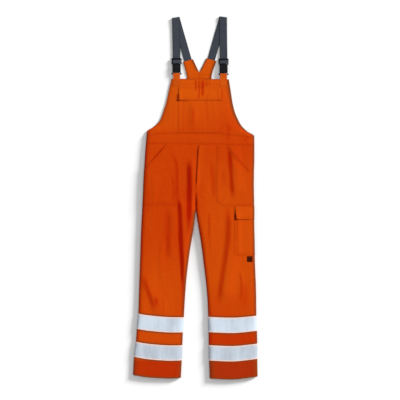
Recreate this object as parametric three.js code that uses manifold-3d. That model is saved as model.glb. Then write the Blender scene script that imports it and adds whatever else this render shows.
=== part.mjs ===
// Bib overalls of high-visibility workwear, laid out flat with the front up.
// Millimetres. X to the right, Y from the hems to the straps, Z up from the surface it lies on.
// Left and right are those of the laid-out garment, seen from above.
import * as THREE from "three";
import { mergeVertices } from "three/addons/utils/BufferGeometryUtils.js";
import Module from "manifold-3d";

const wasm = await Module();
wasm.setup();

// ---------- driving dimensions ----------
const CLOTH = 1.2; // twill of the legs, bib and yoke
const DOUBLE = 1.6; // folded twill of the waistbands
const PATCH = 1.0; // pockets, flaps and reflective tape
const GAP = 0.3; // between neighbouring pieces
const SEAM = 5; // height of the side seams and inseams above the surface
const BIB_EDGE = 3; // height of the free armhole edges
const FRONT_TURN = 26; // width over which a front rounds down to its side seam
const INSEAM_TURN = 24; // the same at the inseam
const BIB_TURN = 60; // and at the free edges of the bib
const BACK_TURN = 8; // width over which a back turns up to its seams
const TAPED = PATCH + GAP; // the backs lie this much higher over the tapes
const CARGO_RAISE = 2 * (PATCH + GAP); // and over the half of the cargo pocket behind them
const CARGO_REACH = 140; // from the side seam, how far the back is raised for the pocket
const CARGO_SLOPE = 45;
const CROTCH = -46;
const CROTCH_RISE = 90; // above the crotch the rounding at the inseam fades out over this
const CENTRE_BACK = 18; // X of the centre back seam at the top of the yoke

const STRAP_WIDTH = 35;
const ARM_WIDTH = 47; // of the yoke's arms, where the straps go in
const STRAP = 1.6; // elastic webbing
const FOLD_RADIUS = 1.9; // of the middle of the webbing, where a strap turns forward
const BUCKLE_Z = 4.9; // middle of the buckles above the surface

// The garment from the hems to the waist seam, a row for each section: the height of the row,
// the side seams, the inseams (one centre seam from the crotch up), the height of the crown of
// the front and how far the backs are raised.
const SECTIONS = [
  { y: -830, left: -286, inLeft: -66, inRight: 66, right: 286, crown: 13, raise: 0 },
  { y: -746.5, left: -281.2, inLeft: -62, inRight: 63, right: 284.7, crown: 13, raise: TAPED },
  { y: -676.5, left: -272.6, inLeft: -59.3, inRight: 61.2, right: 284.5, crown: 13.5, raise: TAPED },
  { y: -616.5, left: -268.2, inLeft: -56.9, inRight: 60.7, right: 283, crown: 13.5, raise: TAPED },
  { y: -546.5, left: -261.6, inLeft: -52.5, inRight: 59.2, right: 280.3, crown: 14, raise: TAPED },
  { y: -470, left: -259, inLeft: -48, inRight: 56, right: 279.5, crown: 14, raise: 0 },
  { y: -400, left: -257, inLeft: -43, inRight: 50, right: 278, crown: 14, raise: 0 },
  { y: -345, left: -255, inLeft: -37.5, inRight: 43.5, right: 275.5, crown: 14.5, raise: 0 },
  { y: -290, left: -253.6, inLeft: -30.8, inRight: 37, right: 273.6, crown: 15, raise: 0 },
  { y: -264, left: -252.5, inLeft: -27.5, inRight: 34, right: 273, crown: 15, raise: 0 },
  { y: -200, left: -250.6, inLeft: -17.2, inRight: 25, right: 271.7, crown: 15.5, raise: 0 },
  { y: -140, left: -248, inLeft: -7.2, inRight: 15, right: 270.2, crown: 16, raise: 0 },
  { y: -90, left: -245.5, inLeft: -1.5, inRight: 7, right: 269.7, crown: 16, raise: 0 },
  { y: CROTCH, left: -243.1, inLeft: 2, inRight: 2, right: 269.6, crown: 16, raise: 0 },
  { y: -36, left: -242.5, inLeft: 2, inRight: 2, right: 269.4, crown: 16, raise: 0 },
  { y: 10, left: -240.1, inLeft: 1.5, inRight: 1.5, right: 268.6, crown: 16, raise: 0 },
  { y: 60, left: -238.3, inLeft: 2.5, inRight: 2.5, right: 267.8, crown: 16, raise: 0 },
  { y: 120, left: -235.5, inLeft: 6, inRight: 6, right: 269.2, crown: 15.5, raise: 0 },
  { y: 180, left: -231.8, inLeft: 11, inRight: 11, right: 271, crown: 15, raise: 0 },
  { y: 246, left: -227, inLeft: 16.5, inRight: 16.5, right: 271.2, crown: 14.5, raise: 0 },
];
// How far a row of the left leg rises from its middle to its side seam.
const LEFT_TILT = [
  { y: -830, rise: 0 },
  { y: -746.5, rise: 2.5 },
  { y: -616.5, rise: 4 },
  { y: -546.5, rise: 5 },
  { y: -470, rise: 4 },
  { y: -400, rise: 2 },
  { y: -345, rise: 0 },
];
// The waistband's crown carries on to the bib. Rows of the bib, as a share of the way up from
// its seam: the edges that curve in at the armholes, and the crown.
const BIB_SECTIONS = [
  { up: 0, left: -223.7, right: 271, crown: 14 },
  { up: 0.04, left: -223, right: 269.5, crown: 13.8 },
  { up: 0.087, left: -221.5, right: 242, crown: 13.4 },
  { up: 0.13, left: -195, right: 226, crown: 13 },
  { up: 0.18, left: -176.5, right: 212, crown: 12.6 },
  { up: 0.26, left: -160, right: 199.5, crown: 12 },
  { up: 0.41, left: -146, right: 182, crown: 11 },
  { up: 0.58, left: -132.5, right: 171, crown: 10 },
  { up: 0.78, left: -122, right: 163, crown: 9 },
  { up: 1, left: -109, right: 154, crown: 8.4 },
];
const BIB_CORNER = 0.13; // up to here the bib's edge goes over from side seam to free edge
// Seams that run across, from the left side to the right.
const HEM_LEFT = [
  { x: -286, y: -813 },
  { x: -207, y: -824.3 },
  { x: -120, y: -828.5 },
  { x: -66, y: -826 },
];
const HEM_RIGHT = [
  { x: 66, y: -829 },
  { x: 165, y: -833 },
  { x: 286, y: -820 },
];
const WAIST_SEAM = [
  { x: -233, y: 249 },
  { x: 20, y: 246 },
  { x: 273, y: 242 },
];
const BIB_SEAM = [
  { x: -226, y: 283 },
  { x: -170, y: 293.5 },
  { x: -100, y: 296 },
  { x: 0, y: 295 },
  { x: 100, y: 292 },
  { x: 200, y: 284.5 },
  { x: 272, y: 274 },
];
const BIB_TOP = [
  { x: -109, y: 546 },
  { x: 154, y: 543.5 },
];
// The largest folds, a row for each: the course of its crest, its height, and the widths of
// its steeper left side and its gentler right side.
const FOLDS = [
  { height: 7, rise: 18, fall: 40, crest: [[-16, 195], [-16, 130], [-14, 0], [-18, -130], [-28, -190]] },
  { height: 7, rise: 18, fall: 45, crest: [[-69, 0], [-58, -90], [-51, -200], [-51, -400], [-48, -545]] },
  { height: 5, rise: 26, fall: 60, crest: [[-228, -340], [-212, -414], [-190, -460], [-168, -550]] },
  { height: 2.5, rise: 30, fall: 45, crest: [[-103, -30], [-101, -130], [-108, -216], [-110, -300]] },
  { height: 5, rise: 34, fall: 50, crest: [[160, 350], [158, 240], [168, 190], [180, 110], [184, -30]] },
  { height: 6, rise: 62, fall: 50, crest: [[168, -75], [164, -190], [147, -331], [120, -460]] },
  { height: 2.5, rise: 24, fall: 45, crest: [[-14, 460], [-12, 380], [-14, 300]] },
];
const FOLD_FADE = 60; // length over which a fold runs out at its ends

// Each strap: the X of its buckle, the Y of its slider's top end, the middle of its fold and
// the middle of the end of its yoke arm.
const STRAPS = [
  { side: "left", buckle: -86, top: 640.9, fold: [-90, 828.2], arm: [-33.4, 629.9] },
  { side: "right", buckle: 129.5, top: 638.8, fold: [128, 830.75], arm: [73, 634] },
];
// The front run's height on its way down from the fold, over the back run.
const FRONT_RUN = [
  { down: 15, z: 4.1 },
  { down: 40, z: 3.3 },
  { down: 90, z: 3 },
];
// Buckles: places along them are measured down from the top end of the slider, heights from
// the middle of the buckle.
const SLIDER = {
  width: 46, length: 29.2, thick: 4.4, window: 18.2, base: 25.5,
  topBar: { to: 7, low: -0.4 }, middleBar: { from: 17, to: 20.5, low: -1.3, high: 1.2 },
};
const SOCKET = {
  width: 37.5, from: 29.5, to: 66, thick: 9, ears: 46, earsTo: 75, earsThick: 5,
  slot: { from: 66.9, to: 70.9 }, slotHalf: 16.3, barHalf: 1.3,
};
const PRONG = { inside: 12.4, outside: 16.4, tip: 18.5, tipFrom: 41, tipTo: 50, thick: 3 };
// Under the slider's top bar, over its middle bar and back below.
const SLIDER_PATH = [
  { along: -20, z: -1.9 },
  { along: 0, z: -1.75 },
  { along: 6.3, z: -1.7 },
  { along: 8, z: -1.2 },
  { along: 15.3, z: 1.9 },
  { along: 17.1, z: 2.4 },
  { along: 20.3, z: 2.4 },
  { along: 22.7, z: 1.4 },
  { along: 23.7, z: -0.7 },
  { along: 22.7, z: -2.9 },
  { along: 20.3, z: -3.8 },
  { along: -18, z: -3.8 },
];
const TAB_WIDTH = 31;
const TAB_EASE = 0.85; // the bib is slightly crowned under the straight tab
const TAB_SEWN = [512, 528, 543]; // Y of its sections on the bib
// Over the socket's bar, round it and back below.
const TAB_LOOP = [
  { along: 86, z: 1.4 },
  { along: 76.5, z: 2.3 },
  { along: 71.7, z: 2.35 },
  { along: 70.1, z: 1.7 },
  { along: 69.3, z: 0 },
  { along: 70.1, z: -1.7 },
  { along: 71.7, z: -2.35 },
  { along: 78.5, z: -2.4 },
  { along: 90, z: -2.4 },
];

const ORANGE = { color: 0xd24a06, roughness: 0.85, metalness: 0 };
const DEEP_ORANGE = { color: 0xc64205, roughness: 0.85, metalness: 0 };
const REFLECTIVE = { color: 0xc8d2dc, roughness: 0.45, metalness: 0.1 };
const WEBBING = { color: 0x454a55, roughness: 0.8, metalness: 0 };
const PLASTIC = { color: 0x17181b, roughness: 0.35, metalness: 0 };
const LABEL = { color: 0x1a1a1c, roughness: 0.7, metalness: 0 };

// ---------- helpers ----------
const clamp = (t) => Math.min(Math.max(t, 0), 1);
const mix = (a, b, t) => a + (b - a) * t;
const smooth = (t) => clamp(t) ** 2 * (3 - 2 * clamp(t));

// A smooth curve through the rows of a table that never overshoots a row.
function through(rows, by, column) {
  const x = rows.map((row) => row[by]);
  const y = rows.map((row) => row[column]);
  const rise = (i) => (y[i + 1] - y[i]) / (x[i + 1] - x[i]);
  const slope = x.map((_, i) => {
    if (i === 0) return rise(0);
    if (i === x.length - 1) return rise(i - 1);
    const [before, after] = [rise(i - 1), rise(i)];
    return before * after <= 0 ? 0 : (2 * before * after) / (before + after);
  });
  return (at) => {
    const place = Math.min(Math.max(at, x[0]), x[x.length - 1]);
    let i = 0;
    while (i < x.length - 2 && place > x[i + 1]) i += 1;
    const span = x[i + 1] - x[i];
    const t = (place - x[i]) / span;
    const [t2, t3] = [t * t, t * t * t];
    return y[i] * (2 * t3 - 3 * t2 + 1) + slope[i] * span * (t3 - 2 * t2 + t)
      + y[i + 1] * (3 * t2 - 2 * t3) + slope[i + 1] * span * (t3 - t2);
  };
}

// A closed solid from three.js geometry, for joining and cutting.
function solid(geometry) {
  const bare = geometry.index ? geometry.toNonIndexed() : geometry.clone();
  bare.deleteAttribute("normal");
  bare.deleteAttribute("uv");
  const merged = mergeVertices(bare, 1e-4);
  const vertProperties = merged.attributes.position.array;
  const triVerts = new Uint32Array(merged.index.array);
  return new wasm.Manifold(new wasm.Mesh({ numProp: 3, vertProperties, triVerts }));
}

// Triangles of a cut or joined solid, as three.js geometry. Slivers along the cuts are dropped.
function geometryOf(shape) {
  const { vertProperties, triVerts } = shape.simplify(0.02).getMesh();
  const geometry = new THREE.BufferGeometry();
  geometry.setAttribute("position", new THREE.BufferAttribute(new Float32Array(vertProperties), 3));
  geometry.setIndex(new THREE.BufferAttribute(new Uint32Array(triVerts), 1));
  return geometry;
}

// The solid between two distances from a grid of points, along their normals.
function sheet(rows, from, to) {
  const [height, width] = [rows.length, rows[0].length];
  const positions = [];
  for (const distance of [from, to]) {
    for (const row of rows) {
      for (const { point, normal } of row) positions.push(...point.clone().addScaledVector(normal, distance));
    }
  }
  const at = (layer, j, i) => layer * height * width + j * width + i;
  const index = [];
  const quad = (a, b, c, d) => index.push(a, b, c, a, c, d);
  for (let j = 0; j < height - 1; j += 1) {
    for (let i = 0; i < width - 1; i += 1) {
      quad(at(1, j, i), at(1, j, i + 1), at(1, j + 1, i + 1), at(1, j + 1, i));
      index.push(at(0, j, i), at(0, j + 1, i + 1), at(0, j, i + 1));
      index.push(at(0, j, i), at(0, j + 1, i), at(0, j + 1, i + 1));
    }
    quad(at(0, j, 0), at(1, j, 0), at(1, j + 1, 0), at(0, j + 1, 0));
    quad(at(1, j, width - 1), at(0, j, width - 1), at(0, j + 1, width - 1), at(1, j + 1, width - 1));
  }
  for (let i = 0; i < width - 1; i += 1) {
    quad(at(0, 0, i), at(0, 0, i + 1), at(1, 0, i + 1), at(1, 0, i));
    quad(at(1, height - 1, i), at(1, height - 1, i + 1), at(0, height - 1, i + 1), at(0, height - 1, i));
  }
  return facingOut(positions, index);
}

// Turns the triangles round if the solid they close is inside out.
function facingOut(positions, index) {
  const geometry = new THREE.BufferGeometry();
  geometry.setAttribute("position", new THREE.Float32BufferAttribute(positions, 3));
  const [a, b, c] = [new THREE.Vector3(), new THREE.Vector3(), new THREE.Vector3()];
  let volume = 0;
  for (let k = 0; k < index.length; k += 3) {
    [a, b, c].forEach((corner, n) => corner.fromArray(positions, index[k + n] * 3));
    volume += a.dot(b.cross(c));
  }
  if (volume < 0) {
    for (let k = 0; k < index.length; k += 3) [index[k], index[k + 1]] = [index[k + 1], index[k]];
  }
  geometry.setIndex(index);
  return geometry;
}

// Points and normals of a surface, sampled at the given shares across and along it.
function sample(surface, across, along, side = 1) {
  const step = 1e-4;
  return along.map((v) => across.map((u) => {
    const du = surface(Math.min(u + step, 1), v).sub(surface(Math.max(u - step, 0), v));
    const dv = surface(u, Math.min(v + step, 1)).sub(surface(u, Math.max(v - step, 0)));
    const normal = du.cross(dv);
    if (v === 0 || v === 1) normal.y = 0; // upright ends, so that neighbours meet face to face
    return { point: surface(u, v), normal: normal.normalize().multiplyScalar(side) };
  }));
}

const shares = (count, from = 0, to = 1) =>
  Array.from({ length: count + 1 }, (_, i) => mix(from, to, i / count));

// An upright prism of an outline, tall enough to cut any layer of the garment.
function prism(outline) {
  const tall = new THREE.ExtrudeGeometry(outline, { depth: 80, bevelEnabled: false, curveSegments: 6 });
  return solid(tall.translate(0, 0, -20));
}

const cut = (layer, outline) => geometryOf(solid(layer).intersect(prism(outline)));

const vectors = (points) => points.map(([x, y]) => new THREE.Vector2(x, y));
const polygon = (points) => new THREE.Shape(vectors(points));

function node(name, geometry, look) {
  const mesh = new THREE.Mesh(geometry, new THREE.MeshStandardMaterial(look));
  mesh.name = name;
  return mesh;
}

// ---------- the form of the garment ----------
// Rounding of an edge: 0 on the edge, 1 a turn's width away from it. The power is 0.5 for a
// quarter of an ellipse, as at a seam, and 1 for the flatter run of a free edge.
const round = (distance, turn, power = 0.5) => (1 - (1 - clamp(distance / turn)) ** 2) ** power;

const folds = FOLDS.map(({ height, rise, fall, crest }) => {
  const rows = crest.map(([x, y]) => ({ x, y })).sort((a, b) => a.y - b.y);
  const [low, high] = [rows[0].y, rows[rows.length - 1].y];
  return { height, rise, fall, crest: through(rows, "y", "x"), low, high };
});

// How far the folds stand above the crown at a place on the front.
function relief(x, y) {
  return folds.reduce((sum, { height, rise, fall, crest, low, high }) => {
    const offset = x - crest(y);
    const side = offset < 0 ? -offset / rise : offset / fall;
    if (side >= 1 || y <= low || y >= high) return sum;
    const ends = smooth((y - low) / FOLD_FADE) * smooth((high - y) / FOLD_FADE);
    return sum + height * ends * 0.5 * (1 + Math.cos(Math.PI * side));
  }, 0);
}

const SECTION_COLUMNS = ["left", "inLeft", "inRight", "right", "crown", "raise"];
const section = Object.fromEntries(
  SECTION_COLUMNS.map((column) => [column, through(SECTIONS, "y", column)]),
);
const [hemLeft, hemRight, waistSeam, bibSeam, bibTop] = [HEM_LEFT, HEM_RIGHT, WAIST_SEAM, BIB_SEAM, BIB_TOP]
  .map((rows) => through(rows, "x", "y"));
const [LOWEST, WAIST] = [SECTIONS[0].y, SECTIONS[SECTIONS.length - 1].y];
const leftTilt = through(LEFT_TILT, "y", "rise");
// How far the edges at the inseam are turned down: wholly below the crotch, not at all above it.
const parted = (y) => 1 - smooth((y - CROTCH) / CROTCH_RISE);

// Columns bunch up at the two edges, evenly round their turns. u is 0 at the left edge.
const TURN_SHARE = 0.25;
function spread(u, left, right, turnLeft, turnRight) {
  if (u < TURN_SHARE) return left + turnLeft * (1 - Math.cos(((u / TURN_SHARE) * Math.PI) / 2));
  if (u > 1 - TURN_SHARE) return right - turnRight * (1 - Math.cos((((1 - u) / TURN_SHARE) * Math.PI) / 2));
  return mix(left + turnLeft, right - turnRight, (u - TURN_SHARE) / (1 - 2 * TURN_SHARE));
}
const columns = (turn, middle) => [
  ...shares(turn, 0, TURN_SHARE),
  ...shares(middle, TURN_SHARE, 1 - TURN_SHARE).slice(1, -1),
  ...shares(turn, 1 - TURN_SHARE, 1),
];

// A leg from hem to waist seam, front or back. v is 0 at the hem.
function leg(isLeft, isFront) {
  const inner = isLeft ? section.inLeft : section.inRight;
  const outer = isLeft ? section.left : section.right;
  const hem = isLeft ? hemLeft : hemRight;
  const [turnOut, turnIn] = isFront ? [FRONT_TURN, INSEAM_TURN] : [BACK_TURN, BACK_TURN];
  return (u, v) => {
    const level = mix(LOWEST, WAIST, v);
    const seam = inner(level) + (isLeft ? -GAP / 2 : GAP / 2);
    const [left, right] = isLeft ? [outer(level), seam] : [seam, outer(level)];
    const [turnLeft, turnRight] = isLeft ? [turnOut, turnIn] : [turnIn, turnOut];
    const x = spread(u, left, right, turnLeft, turnRight);
    const tilt = isLeft ? leftTilt(level) * mix(1, -1, (x - left) / (right - left)) : 0;
    const y = mix(hem(x), waistSeam(x) - GAP / 2, v) + tilt;
    const fromSide = Math.abs(x - outer(level));
    const fromInner = Math.abs(x - seam);
    const edge = 1 - parted(level) * (1 - round(fromInner, turnIn));
    const fullness = round(fromSide, turnOut) * edge;
    if (isFront) {
      return new THREE.Vector3(x, y, mix(SEAM, section.crown(level) + relief(x, y), fullness));
    }
    return new THREE.Vector3(x, y, mix(SEAM - GAP, raised(level, isLeft ? Infinity : fromSide), fullness));
  };
}

// How far a back lies above the surface, to leave room for tape or pocket under it.
function raised(y, fromRightSide) {
  const near = clamp((CARGO_REACH + CARGO_SLOPE - fromRightSide) / CARGO_SLOPE);
  const above = clamp((y + 290) / 26) * clamp((10 - y) / 46);
  return Math.max(section.raise(y), CARGO_RAISE * near * above);
}

// The waistband, front or back: v is 0 at the waist seam. It runs from side to side.
function waistband(isFront) {
  const turn = isFront ? FRONT_TURN : BACK_TURN;
  return (u, v) => {
    const left = mix(section.left(WAIST), BIB_SECTIONS[0].left, v);
    const right = mix(section.right(WAIST), BIB_SECTIONS[0].right, v);
    const x = spread(u, left, right, turn, turn);
    const y = mix(waistSeam(x) + GAP / 2, bibSeam(x) - GAP / 2, v);
    const fullness = round(x - left, turn) * round(right - x, turn);
    const crown = mix(section.crown(WAIST), BIB_SECTIONS[0].crown, v) + relief(x, y);
    return new THREE.Vector3(x, y, isFront ? mix(SEAM, crown, fullness) : mix(SEAM - GAP, 0, fullness));
  };
}

const bibLeft = through(BIB_SECTIONS, "up", "left");
const bibRight = through(BIB_SECTIONS, "up", "right");
const bibCrown = through(BIB_SECTIONS, "up", "crown");
const bibY = (x, v) => mix(bibSeam(x) + GAP / 2, bibTop(x), v);
const bibTurn = (v) => mix(FRONT_TURN, BIB_TURN, smooth(v / BIB_CORNER));
function bibHeight(x, v) {
  const free = smooth(v / BIB_CORNER);
  const turn = bibTurn(v);
  const power = mix(0.5, 1, free);
  const fullness = round(x - bibLeft(v), turn, power) * round(bibRight(v) - x, turn, power);
  return mix(mix(SEAM, BIB_EDGE, free), bibCrown(v) + relief(x, bibY(x, v)), fullness);
}
function bib(u, v) {
  const x = spread(u, bibLeft(v), bibRight(v), bibTurn(v), bibTurn(v));
  return new THREE.Vector3(x, bibY(x, v), bibHeight(x, v));
}

// ---------- the cut pieces ----------
const overalls = new THREE.Group();
const add = (name, geometry, look) => overalls.add(node(name, geometry, look));

const FRONT_COLUMNS = columns(4, 7);
const BACK_COLUMNS = columns(3, 4);
const LEG_ROWS = SECTIONS.map(({ y }) => (y - LOWEST) / (WAIST - LOWEST));
const rowOf = (y) => SECTIONS.findIndex((row) => row.y === y);
// Reflective tape goes round each leg between these rows.
const TAPES = [
  { name: "upper", from: -616.5, to: -546.5 },
  { name: "lower", from: -746.5, to: -676.5 },
];

const fronts = {};
const around = {};
for (const side of ["left", "right"]) {
  const isLeft = side === "left";
  const front = sample(leg(isLeft, true), FRONT_COLUMNS, LEG_ROWS);
  const back = sample(leg(isLeft, false), BACK_COLUMNS, LEG_ROWS, -1);
  fronts[side] = front;
  // Once round the leg from inseam to inseam, by way of the side seam.
  around[side] = front.map((row, j) => (
    isLeft ? [...row].reverse().concat(back[j]) : row.concat([...back[j]].reverse())
  ));
  add(`front_leg_${side}`, sheet(front, -CLOTH, 0), ORANGE);
  add(`back_leg_${side}`, sheet(back, -CLOTH, 0), DEEP_ORANGE);
  for (const { name, from, to } of TAPES) {
    const rows = around[side].slice(rowOf(from), rowOf(to) + 1);
    add(`tape_${name}_${side}`, sheet(rows, GAP, GAP + PATCH), REFLECTIVE);
  }
}
const BIB_COLUMNS = columns(3, 8);
add("front_waistband", sheet(sample(waistband(true), BIB_COLUMNS, [0, 1]), -DOUBLE, 0), DEEP_ORANGE);
add("back_waistband", sheet(sample(waistband(false), BACK_COLUMNS, [0, 1], -1), -DOUBLE, 0), DEEP_ORANGE);

const bibGrid = sample(bib, BIB_COLUMNS, BIB_SECTIONS.map(({ up }) => up));
add("bib_front", sheet(bibGrid, -CLOTH, 0), ORANGE);

// ---------- the back yoke ----------
// Two halves that rise from the waistband to the arms that hold the straps.
const YOKES = [
  { side: "left", corner: -214, hollow: [[-186, 322], [-146, 352], [-92, 400], [-55, 470], [-39, 548]] },
  { side: "right", corner: 258, hollow: [[226, 302], [184, 330], [128, 385], [92, 460], [74.5, 548]] },
];
const NOTCH = 575; // Y of the fork between the arms
for (const { side, corner, hollow } of YOKES) {
  const toSide = Math.sign(corner);
  const { fold, arm } = STRAPS.find((strap) => strap.side === side);
  const [end, upward] = [new THREE.Vector2(...arm), new THREE.Vector2(fold[0] - arm[0], fold[1] - arm[1])];
  const outward = new THREE.Vector2(upward.y, -upward.x).normalize().multiplyScalar((toSide * ARM_WIDTH) / 2);
  const seam = CENTRE_BACK + (toSide * GAP) / 2;
  const outline = new THREE.Shape();
  outline.moveTo(seam, bibSeam(seam) + GAP / 2);
  for (const share of shares(5).slice(1, -1)) {
    const x = mix(seam, corner, share);
    outline.lineTo(x, bibSeam(x) + GAP / 2);
  }
  outline.lineTo(corner, bibSeam(corner) + GAP / 2);
  outline.splineThru(vectors(hollow));
  outline.lineTo(...end.clone().add(outward));
  outline.lineTo(...end.clone().sub(outward));
  outline.lineTo(seam, NOTCH);
  const flat = new THREE.ExtrudeGeometry(outline, { depth: CLOTH, bevelEnabled: false, curveSegments: 10 });
  add(`back_yoke_${side}`, flat, DEEP_ORANGE);
}

// ---------- pieces sewn on ----------
const upon = (rows, lift = GAP, thick = PATCH) => sheet(rows, lift, lift + thick);
const SECOND = GAP + PATCH + GAP; // lift of what lies on a pocket

const flyOutline = new THREE.Shape();
flyOutline.moveTo(17.3, 241.5);
flyOutline.splineThru(vectors([[11.8, 180], [6.8, 120], [3.4, 60], [2.6, 36]]));
flyOutline.quadraticCurveTo(34, 42, 44, 90);
flyOutline.lineTo(56, 241.5);
add("fly_flap", cut(upon(fronts.right), flyOutline), ORANGE);

const BEYOND = 320; // past the side seams, so that a piece ends at the seam
const hipLeft = new THREE.Shape();
hipLeft.moveTo(-133, 245);
hipLeft.lineTo(-202, 166);
hipLeft.lineTo(-225, 138);
hipLeft.lineTo(-BEYOND, 40);
hipLeft.lineTo(-BEYOND, -34.5);
hipLeft.lineTo(-88, -34.5);
hipLeft.lineTo(-78, -18);
hipLeft.splineThru(vectors([[-74, 37], [-78, 106], [-83, 152], [-101, 198], [-119, 245]]));
add("hip_pocket_left", cut(upon(fronts.left), hipLeft), ORANGE);

const hipRight = polygon([
  [99, 242], [99, -16], [128, -38.2], [BEYOND, -38.2], [BEYOND, 60], [253, 115], [221, 152],
  [184, 189], [152, 242],
]);
add("hip_pocket_right", cut(upon(fronts.right), hipRight), ORANGE);

const cargoBag = polygon([[177, -263], [BEYOND, -263], [BEYOND, -48], [181, -48]]);
add("cargo_pocket", cut(upon(around.right), cargoBag), ORANGE);
const cargoFlap = polygon([[190, -98], [BEYOND, -98], [BEYOND, -39], [182, -39]]);
add("cargo_flap", cut(upon(around.right, SECOND), cargoFlap), ORANGE);
const labelTab = polygon([[237, -294], [264, -294], [264, -268], [237, -268]]);
add("label_tab", cut(upon(fronts.right), labelTab), LABEL);

const bibBag = polygon([[-79, 298.5], [126.5, 296], [126, 503], [-79, 503]]);
add("bib_pocket", cut(upon(bibGrid), bibBag), ORANGE);
const bibFlap = polygon([[-74, 450], [122, 450], [123.5, 507], [-76, 507]]);
add("bib_pocket_flap", cut(upon(bibGrid, SECOND), bibFlap), ORANGE);
const penSlot = polygon([[2, 508.5], [42, 508.5], [42, 543], [2, 543]]);
add("pen_slot", cut(upon(bibGrid), penSlot), ORANGE);

// ---------- straps, tabs and buckles ----------
// A ribbon through stations, each with its middle, its direction across and its upward normal.
function ribbon(stations, width, thick) {
  const positions = [];
  for (const { middle, across, normal } of stations) {
    for (const [side, rise] of [[-1, -1], [1, -1], [1, 1], [-1, 1]]) {
      const corner = middle.clone().addScaledVector(across, (side * width) / 2);
      positions.push(...corner.addScaledVector(normal, (rise * thick) / 2));
    }
  }
  const index = [0, 1, 2, 0, 2, 3];
  for (let k = 0; k < stations.length - 1; k += 1) {
    for (let n = 0; n < 4; n += 1) {
      const [a, b] = [4 * k + n, 4 * k + ((n + 1) % 4)];
      index.push(a, a + 4, b + 4, a, b + 4, b);
    }
  }
  const last = 4 * (stations.length - 1);
  index.push(last, last + 2, last + 1, last, last + 3, last + 2);
  return facingOut(positions, index);
}

// Stations of a strip that runs in the plane of Y and Z at one X, each point [y, z].
function sideways(x, path) {
  return path.map(([y, z], k) => {
    const [before, after] = [path[Math.max(k - 1, 0)], path[Math.min(k + 1, path.length - 1)]];
    const direction = new THREE.Vector2(after[0] - before[0], after[1] - before[1]).normalize();
    const middle = new THREE.Vector3(x, y, z);
    const normal = new THREE.Vector3(0, -direction.y, direction.x);
    return { middle, across: new THREE.Vector3(1, 0, 0), normal };
  });
}

const rectangle = (width, length, radius) => {
  const [x, y] = [width / 2, length / 2];
  const shape = new THREE.Shape();
  shape.absarc(x - radius, -y + radius, radius, -Math.PI / 2, 0);
  shape.absarc(x - radius, y - radius, radius, 0, Math.PI / 2);
  shape.absarc(-x + radius, y - radius, radius, Math.PI / 2, Math.PI);
  shape.absarc(-x + radius, -y + radius, radius, Math.PI, 1.5 * Math.PI);
  return shape;
};
// A plate with chamfered edges, centred on its height.
function plate(shape, thick, chamfer, x, y) {
  const bevel = { bevelThickness: chamfer, bevelSize: chamfer, bevelOffset: -chamfer, bevelSegments: 1 };
  const options = { depth: thick - 2 * chamfer, bevelEnabled: true, curveSegments: 3, ...bevel };
  return solid(new THREE.ExtrudeGeometry(shape, options).translate(x, y, chamfer - thick / 2));
}
// A block between two places along the buckle, which runs down from the top of the slider.
const block = (left, right, from, to, low, high) => solid(
  new THREE.BoxGeometry(right - left, to - from, high - low)
    .translate((left + right) / 2, -(from + to) / 2, (low + high) / 2),
);

// The slider: a frame with the two bars that grip the webbing, and two prongs into the socket.
function slider() {
  const { width, length, thick, window, topBar, middleBar, base } = SLIDER;
  const { inside, outside, tip, tipFrom, tipTo } = PRONG;
  let frame = plate(rectangle(width, length, 4), thick, 0.8, 0, -length / 2);
  frame = frame.subtract(block(-window, window, topBar.to, base, -thick, thick));
  frame = frame.subtract(block(-window, window, -1, topBar.to, -thick, topBar.low));
  const rail = window + 1;
  frame = frame.add(block(-rail, rail, middleBar.from, middleBar.to, middleBar.low, middleBar.high));
  for (const side of [-1, 1]) {
    const [near, far, end] = [inside * side, outside * side, tip * side];
    const half = PRONG.thick / 2;
    frame = frame.add(block(Math.min(near, far), Math.max(near, far), base + 1, tipTo, -half, half));
    frame = frame.add(block(Math.min(near, end), Math.max(near, end), tipFrom, tipTo, -half, half));
  }
  return frame;
}

// The socket: a body with a channel and a side window for each prong, and the eared bar.
function socket() {
  const { width, from, to, thick, ears, earsTo, earsThick, slot, slotHalf, barHalf } = SOCKET;
  const { inside, outside, tip, tipFrom, tipTo } = PRONG;
  let body = plate(rectangle(width, to - from, 3), thick, 1.4, 0, -(from + to) / 2);
  const [narrow, wide] = [width / 2 - 1, ears / 2];
  const flare = polygon([
    [-narrow, -to + 3], [-narrow, -to - 0.5], [-wide, -earsTo + 4.5], [-wide, -earsTo + 0.5],
    [-wide + 2.5, -earsTo], [wide - 2.5, -earsTo], [wide, -earsTo + 0.5], [wide, -earsTo + 4.5],
    [narrow, -to - 0.5], [narrow, -to + 3],
  ]);
  body = body.add(plate(flare, earsThick, 0.8, 0, 0));
  body = body.subtract(block(-slotHalf, slotHalf, slot.from, slot.to, -thick, thick));
  for (const over of [-1, 1]) {
    const [low, high] = over < 0 ? [-thick, -barHalf] : [barHalf, thick];
    body = body.subtract(block(-slotHalf, slotHalf, slot.to - 0.5, earsTo + 1, low, high));
  }
  const room = PRONG.thick / 2 + GAP;
  for (const side of [-1, 1]) {
    const [near, far, end] = [(inside - GAP) * side, (outside + GAP) * side, (tip + 2) * side];
    body = body.subtract(block(Math.min(near, far), Math.max(near, far), from - 1, tipTo + GAP, -room, room));
    const low = Math.min(far - side, end);
    const high = Math.max(far - side, end);
    body = body.subtract(block(low, high, tipFrom - 1, tipTo + GAP, -room - 0.6, room + 0.6));
  }
  return body;
}

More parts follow.
